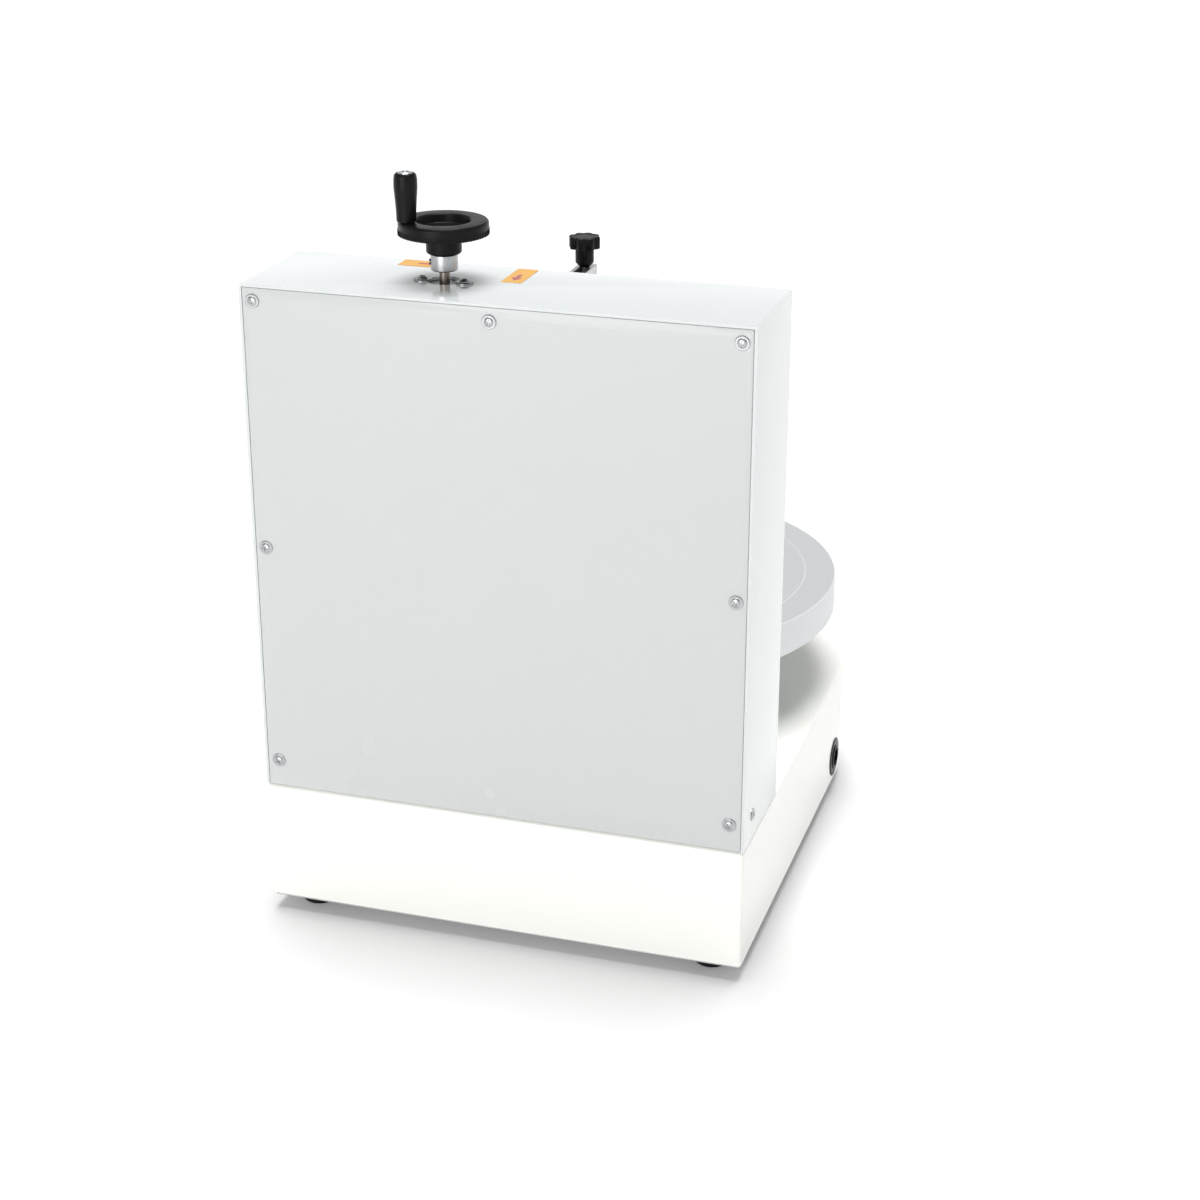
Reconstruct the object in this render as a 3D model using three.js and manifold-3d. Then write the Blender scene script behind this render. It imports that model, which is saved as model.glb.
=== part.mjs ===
// Countertop cake-coating machine: a base with a turning table, a lift column whose handwheel
// screw raises an arm with the top scraper, and a side scraper on a swinging arm.
// Millimetres. Inside the machine group x is to the right seen from the front, y = 0 is the
// back face with the front at negative y, and z = 0 is the lower edge of the base shell.

import * as THREE from 'three';
import { mergeVertices } from 'three/addons/utils/BufferGeometryUtils.js';
import Module from 'manifold-3d';

const wasm = await Module();
wasm.setup();

// Driving dimensions
const width = 440;
const gap = 0.3;
const base = { depth: 550, height: 111, cornerRadius: 150, edgeRadius: 4, wall: 2 };
const foot = { height: 15, radius: 17, rearX: 187, rearY: -30, frontX: 140, frontY: -490 };
const floorPlate = { thickness: 1.5, inset: 1 };
const column = { depth: 121, top: 571, wall: 2.5, rim: 20, rimThickness: 2 };
const armSlot = { slotHalf: 13, slotLow: 286, slotHigh: 553 };
const cover = { thickness: 1.8, clearance: 0.4, holeRadius: 2.8 };
const screwHead = { radius: 6.2, height: 2.6, shankRadius: 2.4, length: 9 };
const shaft = { x: 61, y: -60, radius: 4.3, holeRadius: 14.5, screwSpacing: 37 };
const wheel = {
  rimRadius: 38, dishRadius: 22.5, hubRadius: 14.8, bottom: 594.6, rimBottom: 610, top: 622,
};
const coupling = { radius: 11.3, bottom: 580.2, setScrew: 587.5 };
const crank = { orbit: 31, angle: 36, top: 663.5, radius: 9.8, baseRadius: 8 };
const rod = { x: 38, radius: 6, bushRadius: 9.5 };
const carriage = { bottom: 494, top: 544, left: -60, right: 85, front: -78, back: -42 };
const arm = { side: 16, top: 542, end: -262, slotHalf: 3.6, slotBack: -174, socket: 20 };
const knob = { y: -250, radius: 14.3, neckRadius: 8.3, studRadius: 3, bottom: 559, top: 570, lobes: 8 };
const lobeDip = 1.1;
const scraper = { back: -205, front: -367, bladeBottom: 455, bladeTop: 492, thickness: 1.5 };
const holder = { channelLow: 484, channelTop: 500, channelHalf: 6, hangerHalf: 10, hangerReach: 12 };
const sideArm = { pivotX: 178, pivotY: -142, low: 304, high: 396, bladeX: 165, bladeY: -348 };
const pivot = {
  lugHalf: 12, lugThickness: 4, plateHalf: 18, plateThickness: 3, plateExtra: 16,
  pinRadius: 5, hubRadius: 10,
};
const sideBlade = {
  bottom: 221, height: 200, width: 45, angle: 20, thickness: 1.5, clampHalf: 40,
};
const table = {
  y: -355, radius: 215, top: 216, height: 34, grooveRadius: 186, plate: 8, wall: 8, hub: 45,
};
const spindle = {
  radius: 10, bottom: 30, flange: 32, bearingRadius: 21, ringHeight: 12,
  neckRadius: 29, neckTop: 174, housingFlange: 56, lip: 3,
};
const drive = {
  pulleyRadius: 60, motorX: -128, motorPulleyRadius: 20, flange: 3, shaftRadius: 4,
  beltBottom: 82, beltWidth: 10, beltThickness: 2.2,
};
const motor = {
  gearboxHalf: 30, gearboxLow: 20, gearboxTop: 62, canRadius: 27, canEnd: 135, footHalf: 38,
};
const panel = { width: 134, height: 78, low: 17, thickness: 1.5 };
const display = { x: -36, z: 66, halfWidth: 21, halfHeight: 11, depth: 14 };
const speedControl = { x: 34, z: 56, shaftRadius: 3, bushing: 4.6, shaftLength: 12 };
const speedDial = { radius: 16, waist: 12.8, low: 2.2, high: 17.4 };
const rockerSwitch = { x: -35, z: 35, halfWidth: 14, halfHeight: 8, depth: 22, tilt: 8 };
const fitting = {
  y: -384, z: 23, holeRadius: 13, bodyRadius: 12.6, flangeRadius: 19.5, flangeProud: 0.9, proud: 2.2,
};
const bearing = { bossRadius: 12.5, bossLow: 556, flange: 5, earRadius: 5.5, ringRadius: 13.6, screwY: 3 };
const over = 9; // how far a cutting tool runs past the piece it cuts
const through = 999; // end of a cut that goes all the way through
const round = 24; // sides of a turned piece

const finish = {
  enamel: { color: 0xeef1f0, roughness: 0.25, metalness: 0.0 },
  zinc: { color: 0xb9bcc0, roughness: 0.35, metalness: 0.9 },
  steel: { color: 0xc4c7ca, roughness: 0.25, metalness: 1.0 },
  darkSteel: { color: 0x6b6158, roughness: 0.35, metalness: 0.9 },
  brass: { color: 0xc8a15a, roughness: 0.35, metalness: 0.9 },
  aluminium: { color: 0xd3d6da, roughness: 0.4, metalness: 0.6 },
  blackPlastic: { color: 0x1a1a1c, roughness: 0.4, metalness: 0.0 },
  rubber: { color: 0x18181a, roughness: 0.8, metalness: 0.0 },
  board: { color: 0x1f5f3a, roughness: 0.5, metalness: 0.0 },
  glass: { color: 0x26110f, roughness: 0.1, metalness: 0.0 },
};

// Geometry helpers

// Turns a closed geometry's faces outwards if they point in.
function outward(geometry) {
  const bare = new THREE.BufferGeometry();
  bare.setAttribute('position', geometry.attributes.position);
  if (geometry.index) bare.setIndex(geometry.index);
  const merged = mergeVertices(bare, 1e-4);
  const p = merged.attributes.position;
  const index = Array.from(merged.index.array);
  const kept = [];
  let volume = 0;
  const [a, b, c] = [new THREE.Vector3(), new THREE.Vector3(), new THREE.Vector3()];
  for (let i = 0; i < index.length; i += 3) {
    const [i0, i1, i2] = index.slice(i, i + 3);
    if (i0 === i1 || i1 === i2 || i2 === i0) continue;
    kept.push(i0, i1, i2);
    const cross = b.fromBufferAttribute(p, i1).cross(c.fromBufferAttribute(p, i2));
    volume += a.fromBufferAttribute(p, i0).dot(cross);
  }
  if (volume < 0) kept.reverse();
  merged.setIndex(kept);
  return merged;
}

function toManifold(geometry) {
  const closed = outward(geometry);
  const vertProperties = new Float32Array(closed.attributes.position.array);
  const triVerts = new Uint32Array(closed.index.array);
  return new wasm.Manifold(new wasm.Mesh({ numProp: 3, vertProperties, triVerts }));
}

function toGeometry(manifold) {
  const mesh = manifold.getMesh();
  const geometry = new THREE.BufferGeometry();
  geometry.setAttribute('position', new THREE.BufferAttribute(new Float32Array(mesh.vertProperties), 3));
  geometry.setIndex(new THREE.BufferAttribute(new Uint32Array(mesh.triVerts), 1));
  return geometry;
}

function cut(geometry, ...tools) {
  return toGeometry(tools.reduce((body, tool) => body.subtract(toManifold(tool)), toManifold(geometry)));
}

function join(geometry, ...others) {
  return toGeometry(others.reduce((body, other) => body.add(toManifold(other)), toManifold(geometry)));
}

// A box between two corners.
function block(x0, x1, y0, y1, z0, z1) {
  const geometry = new THREE.BoxGeometry(x1 - x0, y1 - y0, z1 - z0);
  return geometry.translate((x0 + x1) / 2, (y0 + y1) / 2, (z0 + z1) / 2);
}

// A body of revolution about +Z from [radius, height] pairs.
function turned(profile, segments = round) {
  const points = profile.map(([r, z]) => new THREE.Vector2(r, z));
  return outward(new THREE.LatheGeometry(points, segments).rotateX(Math.PI / 2));
}

// A turned ring: the profile closes on itself.
function turnedRing(profile, segments = round) {
  return turned([...profile, profile[0]], segments);
}

function bar(radius, z0, z1, segments = round) {
  return turned([[0, z0], [radius, z0], [radius, z1], [0, z1]], segments);
}

function tube(inner, outer, z0, z1, segments = round) {
  return turnedRing([[inner, z0], [outer, z0], [outer, z1], [inner, z1]], segments);
}

function along(geometry, x, y, z = 0) {
  return geometry.translate(x, y, z);
}

// A box through the front face, centred on a control.
function frontBlock(centre, halfWidth, halfHeight, y0, y1) {
  const { x, z } = centre;
  return block(x - halfWidth, x + halfWidth, y0, y1, z - halfHeight, z + halfHeight);
}

// Turns a part made along +Z so that it points along +X, -X, -Y or +Y.
const toRight = (geometry) => geometry.rotateY(Math.PI / 2);
const toLeft = (geometry) => geometry.rotateY(-Math.PI / 2);
const toFront = (geometry) => geometry.rotateX(Math.PI / 2);
const toBack = (geometry) => geometry.rotateX(-Math.PI / 2);

// Plan outline of the base: square back corners and large round front corners.
function baseOutline(inset) {
  const side = width / 2 - inset;
  const front = -base.depth + inset;
  const r = base.cornerRadius - inset;
  const cx = width / 2 - base.cornerRadius;
  const cy = -base.depth + base.cornerRadius;
  const shape = new THREE.Shape();
  shape.moveTo(-side, -inset);
  shape.lineTo(-side, cy);
  shape.absarc(-cx, cy, r, Math.PI, 1.5 * Math.PI, false);
  shape.lineTo(cx, front);
  shape.absarc(cx, cy, r, 1.5 * Math.PI, 2 * Math.PI, false);
  shape.lineTo(side, -inset);
  shape.closePath();
  return shape;
}

function plate(shape, z0, z1, curveSegments = 9) {
  const geometry = new THREE.ExtrudeGeometry(shape, { depth: z1 - z0, bevelEnabled: false, curveSegments });
  return geometry.translate(0, 0, z0);
}

const machine = new THREE.Group();
machine.position.set(0, (table.radius - table.y - screwHead.height) / 2, foot.height);

function add(name, geometry, look) {
  const mesh = new THREE.Mesh(geometry, new THREE.MeshStandardMaterial(finish[look]));
  mesh.name = name;
  machine.add(mesh);
  return mesh;
}

// Base: shell, floor plate and feet
function addBase() {
  const { height, edgeRadius, wall } = base;
  const outer = new THREE.ExtrudeGeometry(baseOutline(edgeRadius), {
    depth: height,
    bevelThickness: edgeRadius,
    bevelSize: edgeRadius,
    bevelSegments: 2,
    curveSegments: 9,
  }).translate(0, 0, -edgeRadius);
  const below = block(-width, width, -2 * base.depth, base.depth, -3 * edgeRadius, 0);
  const inside = plate(baseOutline(wall), -1, height - wall);
  const above = block(-width, width, -2 * base.depth, base.depth, height, 2 * height);
  const spindleHole = along(bar(spindle.bearingRadius + 3, 0, height + over), 0, table.y);
  const front = -base.depth;
  const displayHole = frontBlock(
    display, display.halfWidth + 1, display.halfHeight + 1, front - over, front + over,
  );
  const potHole = bar(speedControl.bushing + 0.4, -over, over, 20);
  along(toFront(potHole), speedControl.x, front, speedControl.z);
  const switchHole = frontBlock(
    rockerSwitch, rockerSwitch.halfWidth + 1, rockerSwitch.halfHeight + 1, front - over, front + over,
  );
  const sideHole = () => bar(fitting.holeRadius, -over, over, 20);
  const inletHole = along(toLeft(sideHole()), -width / 2, fitting.y, fitting.z);
  const socketHole = along(toRight(sideHole()), width / 2, fitting.y, fitting.z);
  const bodyHoles = [below, above, inside, spindleHole];
  const controlHoles = [displayHole, potHole, switchHole, inletHole, socketHole];
  add('base_shell', cut(outer, ...bodyHoles, ...controlHoles), 'enamel');

  const { thickness, inset } = floorPlate;
  add('floor_plate', plate(baseOutline(inset), -gap - thickness, -gap), 'zinc');

  const footTop = -2 * gap - thickness;
  const corners = [['rear', foot.rearX, foot.rearY], ['front', foot.frontX, foot.frontY]];
  for (const [row, x, y] of corners) {
    for (const [side, sign] of [['left', -1], ['right', 1]]) {
      const r = foot.radius;
      const profile = [
        [0, -foot.height], [r - 3, -foot.height], [r - 1, 1.5 - foot.height], [r, footTop], [0, footTop],
      ];
      add(`foot_${row}_${side}`, along(turned(profile, 20), sign * x, y), 'rubber');
    }
  }
}

// Column: shell with its front slot and shaft hole, inset rear cover and screws
const coverScrews = [
  [-208, 557], [0.8, 556.4], [208, 557], [-208, 339.5], [208, 339.5], [-207, 136.5], [207, 136.5],
];
const columnFoot = base.height + gap;

function addColumn() {
  const { depth, top, wall, rim, rimThickness } = column;
  const { slotHalf, slotLow, slotHigh } = armSlot;
  const side = width / 2;
  const outer = block(-side, side, -depth, 0, columnFoot, top);
  const well = block(wall - side, side - wall, wall - depth, over, columnFoot - over, top - wall);
  const slot = block(-slotHalf, slotHalf, -depth - over, wall + 1 - depth, slotLow, slotHigh);
  const shaftHole = along(bar(shaft.holeRadius, top - over, top + over), shaft.x, shaft.y);
  const screwHole = (sign) => {
    const x = shaft.x + sign * shaft.screwSpacing / 2;
    return along(bar(2.8, top - over, top + over, 16), x, shaft.y + bearing.screwY);
  };
  const rimBack = -cover.thickness - gap;
  const rimRing = cut(
    block(0.5 - side, side - 0.5, rimBack - rimThickness, rimBack, columnFoot, top - 0.5),
    block(rim - side, side - rim, -depth, over, columnFoot + rim - 4, top - rim),
  );
  const threads = coverScrews.map(([x, z]) => along(toBack(bar(cover.holeRadius, -20, over, 8)), x, 0, z));
  const shell = join(cut(outer, well, slot, shaftHole, screwHole(-1), screwHole(1)), rimRing);
  add('column_shell', cut(shell, ...threads), 'enamel');

  const edge = side - wall - cover.clearance;
  const sheet = block(-edge, edge, -cover.thickness, 0, columnFoot + 1, top - wall - cover.clearance);
  add('rear_cover', cut(sheet, ...threads), 'enamel');

  const { radius, height, shankRadius, length } = screwHead;
  const screwProfile = [
    [0, gap - length], [shankRadius, gap - length], [shankRadius, gap], [radius, gap],
    [radius, gap + 0.8], [radius * 0.7, height - 0.2], [0, height],
  ];
  coverScrews.forEach(([x, z], i) => {
    add(`cover_screw_${i + 1}`, along(toBack(turned(screwProfile, 12)), x, 0, z), 'zinc');
  });
}

// Lift: cross plates, guide rods, screw bearings
const upperPlate = { bottom: 554, top: 562 };
const lowerPlate = { bottom: 118, top: 126 };
const plateSpan = { left: -58, right: 90, front: gap + column.wall - column.depth, back: -36 };

function rodHoles(extra) {
  const holes = [-rod.x, rod.x].map((x) => along(bar(rod.radius + gap, -over, through), x, shaft.y));
  return [...holes, ...extra];
}

function addLiftFrame() {
  const { left, right, front, back } = plateSpan;
  const bossHole = along(bar(bearing.bossRadius + 1, 0, through), shaft.x, shaft.y);
  const upper = block(left, right, front, back, upperPlate.bottom, upperPlate.top);
  add('upper_rod_plate', cut(upper, ...rodHoles([bossHole])), 'steel');

  const legTop = lowerPlate.top + 26;
  const leg = block(left, right, front, front + 6, lowerPlate.top - 1, legTop);
  const lower = join(block(left, right, front, back, lowerPlate.bottom, lowerPlate.top), leg);
  const screwHole = along(bar(shaft.radius + gap, 0, through), shaft.x, shaft.y);
  add('lower_rod_plate', cut(lower, ...rodHoles([screwHole])), 'steel');

  for (const [name, x] of [['guide_rod_left', -rod.x], ['guide_rod_right', rod.x]]) {
    add(name, along(bar(rod.radius, lowerPlate.bottom, upperPlate.top, 24), x, shaft.y), 'steel');
  }

  const sheetUnder = column.top - column.wall - gap;
  const half = shaft.screwSpacing / 2;
  const { bossRadius, bossLow, flange, earRadius, ringRadius, screwY } = bearing;
  const outline = new THREE.Shape();
  outline.absarc(-half, screwY, earRadius, Math.PI / 2, 1.5 * Math.PI, false);
  outline.absarc(0, 0, ringRadius, 1.25 * Math.PI, 1.75 * Math.PI, false);
  outline.absarc(half, screwY, earRadius, -Math.PI / 2, Math.PI / 2, false);
  outline.absarc(0, 0, ringRadius, 0.25 * Math.PI, 0.75 * Math.PI, false);
  const ears = plate(outline, sheetUnder - flange, sheetUnder, 6);
  const bores = [bar(shaft.radius + gap, 0, through)];
  for (const sign of [-1, 1]) bores.push(along(bar(2.6, 0, through, 16), sign * half, screwY));
  const boss = join(ears, bar(bossRadius, bossLow, sheetUnder - 1));
  add('upper_bearing', along(cut(boss, ...bores), shaft.x, shaft.y), 'steel');
  [-1, 1].forEach((sign, i) => {
    const top = column.top;
    const [shank, rim, head] = [2.2, 6.7, 4.2];
    const profile = [
      [0, top - over], [shank, top - over], [shank, top + gap], [rim, top + gap],
      [rim, top + 1.3], [head, top + 1.5], [head - 0.2, top + 3.2], [0, top + 3.8],
    ];
    const screw = turned(profile, 14);
    add(`bearing_screw_${i + 1}`, along(screw, shaft.x + sign * half, shaft.y + screwY), 'zinc');
  });

  const seat = lowerPlate.top + gap;
  const [bore, cupFlange, cupBody, cupHeight] = [shaft.radius + gap, 15, 11, 13];
  const cup = turnedRing([
    [bore, seat], [cupFlange, seat], [cupFlange, seat + 5],
    [cupBody, seat + 6], [cupBody, seat + cupHeight], [bore, seat + cupHeight],
  ]);
  add('lower_bearing', along(cup, shaft.x, shaft.y), 'steel');
}

// Turning screw with its coupling, the handwheel and the crank grip
const crankTurn = THREE.MathUtils.degToRad(crank.angle);
const gripX = shaft.x + crank.orbit * Math.cos(crankTurn);
const gripY = shaft.y + crank.orbit * Math.sin(crankTurn);

function addScrewAndWheel() {
  const { rimRadius, dishRadius, hubRadius, bottom, rimBottom, top } = wheel;
  const screwTop = rimBottom - 3;
  add('lead_screw', along(bar(shaft.radius, lowerPlate.bottom, screwTop, 24), shaft.x, shaft.y), 'darkSteel');
  const sleeve = tube(shaft.radius + gap, coupling.radius, coupling.bottom, bottom - gap, 24);
  const setHole = along(toRight(bar(2.6, 0, 20, 12)), 0, 0, coupling.setScrew);
  add('coupling_sleeve', along(cut(sleeve, setHole), shaft.x, shaft.y), 'zinc');

  const dish = top - 7.5;
  const body = turned([
    [0, bottom], [hubRadius, bottom], [hubRadius, rimBottom], [rimRadius - 1.5, rimBottom],
    [rimRadius, rimBottom + 1.5], [rimRadius, top - 1.5], [rimRadius - 1.5, top], [dishRadius + 1, top],
    [dishRadius, top - 1], [dishRadius - 2, dish], [0, dish],
  ], 36);
  const bore = bar(shaft.radius + gap, bottom - over, screwTop + gap, 24);
  const boltRadius = 3.3;
  const boltHole = along(bar(boltRadius + gap, top - 8, top + over, 16), gripX - shaft.x, gripY - shaft.y);
  add('handwheel', along(cut(body, bore, boltHole), shaft.x, shaft.y), 'blackPlastic');

  const headLow = crank.top - 2;
  const headRadius = 6.4;
  const boltLow = top - 7.7;
  const bolt = turned([
    [0, boltLow], [boltRadius, boltLow], [boltRadius, headLow], [headRadius, headLow],
    [headRadius, crank.top - 0.6], [headRadius - 0.6, crank.top], [0, crank.top],
  ], 20);
  add('grip_bolt', along(bolt, gripX, gripY), 'zinc');

  const low = top + gap;
  const lip = crank.top - 0.8;
  const gripBore = boltRadius + 0.4;
  const sink = headRadius + 0.4;
  const grip = turnedRing([
    [gripBore, low], [crank.baseRadius - 0.6, low], [crank.baseRadius, low + 0.8],
    [crank.baseRadius + 0.5, low + 14], [crank.radius, low + 28], [crank.radius, lip - 4],
    [crank.radius - 1, lip - 1.2], [crank.radius - 2.4, lip],
    [sink, lip], [sink, headLow - gap], [gripBore, headLow - gap],
  ], 18);
  add('crank_grip', along(grip, gripX, gripY), 'blackPlastic');
}

// Star knob pointing down its screw: lobed head, tapered neck, threaded stud
function starKnob(z0, neckTop, headTop, studLow) {
  const lobed = new THREE.Shape();
  const steps = 4 * knob.lobes;
  for (let i = 0; i < steps; i++) {
    const turn = (i / steps) * 2 * Math.PI;
    const r = knob.radius - lobeDip + lobeDip * Math.cos(knob.lobes * turn);
    if (i === 0) lobed.moveTo(r * Math.cos(turn), r * Math.sin(turn));
    else lobed.lineTo(r * Math.cos(turn), r * Math.sin(turn));
  }
  lobed.closePath();
  const head = new THREE.ExtrudeGeometry(lobed, {
    depth: headTop - neckTop - 1,
    bevelThickness: 1,
    bevelSize: 1,
    bevelOffset: -1,
    bevelSegments: 1,
    curveSegments: 1,
  }).translate(0, 0, neckTop);
  const { neckRadius, studRadius } = knob;
  const neck = turned([
    [0, studLow], [studRadius, studLow], [studRadius, z0], [5, z0],
    [neckRadius, z0 + 3.5], [neckRadius, neckTop + 2], [0, neckTop + 2],
  ], 16);
  return join(head, neck);
}

// Carriage on the rods, with the lift nut, bushes and the arm bar
function addCarriage() {
  const { bottom, top, left, right, front, back } = carriage;
  const holes = [-rod.x, rod.x].map((x) => along(bar(rod.bushRadius + gap, 0, through), x, shaft.y));
  const nutRadius = 7;
  holes.push(along(bar(nutRadius + gap, 0, through), shaft.x, shaft.y));
  const half = arm.side / 2;
  const armBottom = arm.top - arm.side;
  const socketEnd = front + arm.socket;
  holes.push(block(-half - gap, half + gap, front - over, socketEnd + gap, armBottom - gap, arm.top + gap));
  add('lift_carriage', cut(block(left, right, front, back, bottom, top), ...holes), 'aluminium');

  const [nutBore, nutFlange, nutTop] = [shaft.radius + gap, 11, bottom + 16];
  const nut = turnedRing([
    [nutBore, bottom - 4], [nutFlange, bottom - 4], [nutFlange, bottom - gap],
    [nutRadius, bottom - gap], [nutRadius, nutTop], [nutBore, nutTop],
  ], 18);
  add('lift_nut', along(nut, shaft.x, shaft.y), 'brass');
  for (const [name, x] of [['rod_bush_left', -rod.x], ['rod_bush_right', rod.x]]) {
    add(name, along(tube(rod.radius + gap, rod.bushRadius, bottom, top, 18), x, shaft.y), 'brass');
  }
  const slot = block(-arm.slotHalf, arm.slotHalf, arm.end + 6, arm.slotBack, 0, through);
  add('arm_bar', cut(block(-half, half, arm.end, socketEnd, armBottom, arm.top), slot), 'steel');
}

// Top scraper: hanger and channel under the arm, blade, star knob above
function addTopScraper() {
  const { back, front, bladeBottom, bladeTop, thickness } = scraper;
  const under = arm.top - arm.side - gap;
  const { channelLow, channelTop, channelHalf, hangerHalf, hangerReach } = holder;
  const hanger = block(
    -hangerHalf, hangerHalf, knob.y - hangerReach, knob.y + hangerReach, channelTop - 2, under,
  );
  const channel = block(-channelHalf, channelHalf, front, back, channelLow, channelTop);
  const slit = thickness / 2 + gap;
  const bladeSlot = block(-slit, slit, front - over, back + over, 0, bladeTop + gap);
  const studHole = along(bar(knob.studRadius + gap, channelTop + 4, through, 16), 0, knob.y);
  add('scraper_holder', cut(join(hanger, channel), bladeSlot, studHole), 'steel');

  const outline = new THREE.Shape();
  const corner = 6;
  outline.moveTo(front - 2, bladeTop - corner);
  outline.absarc(front - 2 + corner, bladeBottom + corner, corner, Math.PI, 1.5 * Math.PI, false);
  outline.lineTo(back + 2, bladeBottom);
  outline.lineTo(back + 2, bladeTop);
  outline.lineTo(front - 2, bladeTop);
  outline.closePath();
  const shape = { depth: thickness, bevelEnabled: false, curveSegments: 5 };
  const blade = new THREE.ExtrudeGeometry(outline, shape);
  const upright = blade.translate(0, 0, -thickness / 2).rotateX(Math.PI / 2).rotateZ(Math.PI / 2);
  add('top_blade', upright, 'steel');

  const star = starKnob(arm.top + gap, knob.bottom, knob.top, channelTop + 6);
  add('star_knob', along(star, 0, knob.y), 'blackPlastic');
}

// Side scraper: bracket with its pin on the column, swinging arm, blade and clamp knob
function addSideScraper() {
  const { pivotX, pivotY, low, high, bladeX, bladeY } = sideArm;
  const { lugHalf, lugThickness, plateHalf, plateThickness, plateExtra, pinRadius, hubRadius } = pivot;
  const face = -column.depth - gap;
  const lug = (z0, z1) => block(pivotX - lugHalf, pivotX + lugHalf, pivotY - hubRadius, face, z0, z1);
  const pin = along(bar(pinRadius, low - 8, high + 24, 24), pivotX, pivotY);
  const bracket = join(
    block(
      pivotX - plateHalf, pivotX + plateHalf, face - plateThickness, face,
      low - plateExtra, high + plateExtra,
    ),
    lug(low - lugThickness - gap, low - gap),
    lug(high + gap, high + lugThickness + gap),
    pin,
  );
  add('side_bracket', bracket, 'steel');

  const middle = (low + high) / 2;
  const endX = bladeX + 5.5;
  const endY = bladeY + 6;
  const reach = Math.hypot(endX - pivotX, endY - pivotY);
  const hub = along(bar(hubRadius, low, high, 28), pivotX, pivotY);
  const link = block(-4, 4, -reach, -pinRadius - 1, middle - 13, middle + 13);
  link.rotateZ(Math.atan2(endX - pivotX, pivotY - endY));
  along(link, pivotX, pivotY);
  const turn = THREE.MathUtils.degToRad(sideBlade.angle);
  const { bottom, height, thickness, clampHalf } = sideBlade;
  const clamp = block(1, 13, thickness / 2 + gap, 6, middle - clampHalf, middle + clampHalf).rotateZ(turn);
  along(clamp, bladeX, bladeY);
  const pinHole = along(bar(pinRadius + gap, 0, through, 24), pivotX, pivotY);
  add('side_arm', cut(join(hub, link, clamp), pinHole), 'steel');

  const back = 14;
  const blade = block(back - sideBlade.width, back, -thickness / 2, thickness / 2, bottom, bottom + height);
  add('side_blade', along(blade.rotateZ(turn), bladeX, bladeY), 'steel');

  const seat = high + lugThickness + 2 * gap;
  const headHeight = knob.top - knob.bottom;
  const star = starKnob(seat, seat + 12, seat + 12 + headHeight, seat);
  const knobHole = bar(pinRadius + gap, 0, seat + 20, 24);
  add('side_knob', along(cut(star, knobHole), pivotX, pivotY), 'blackPlastic');
}

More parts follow.
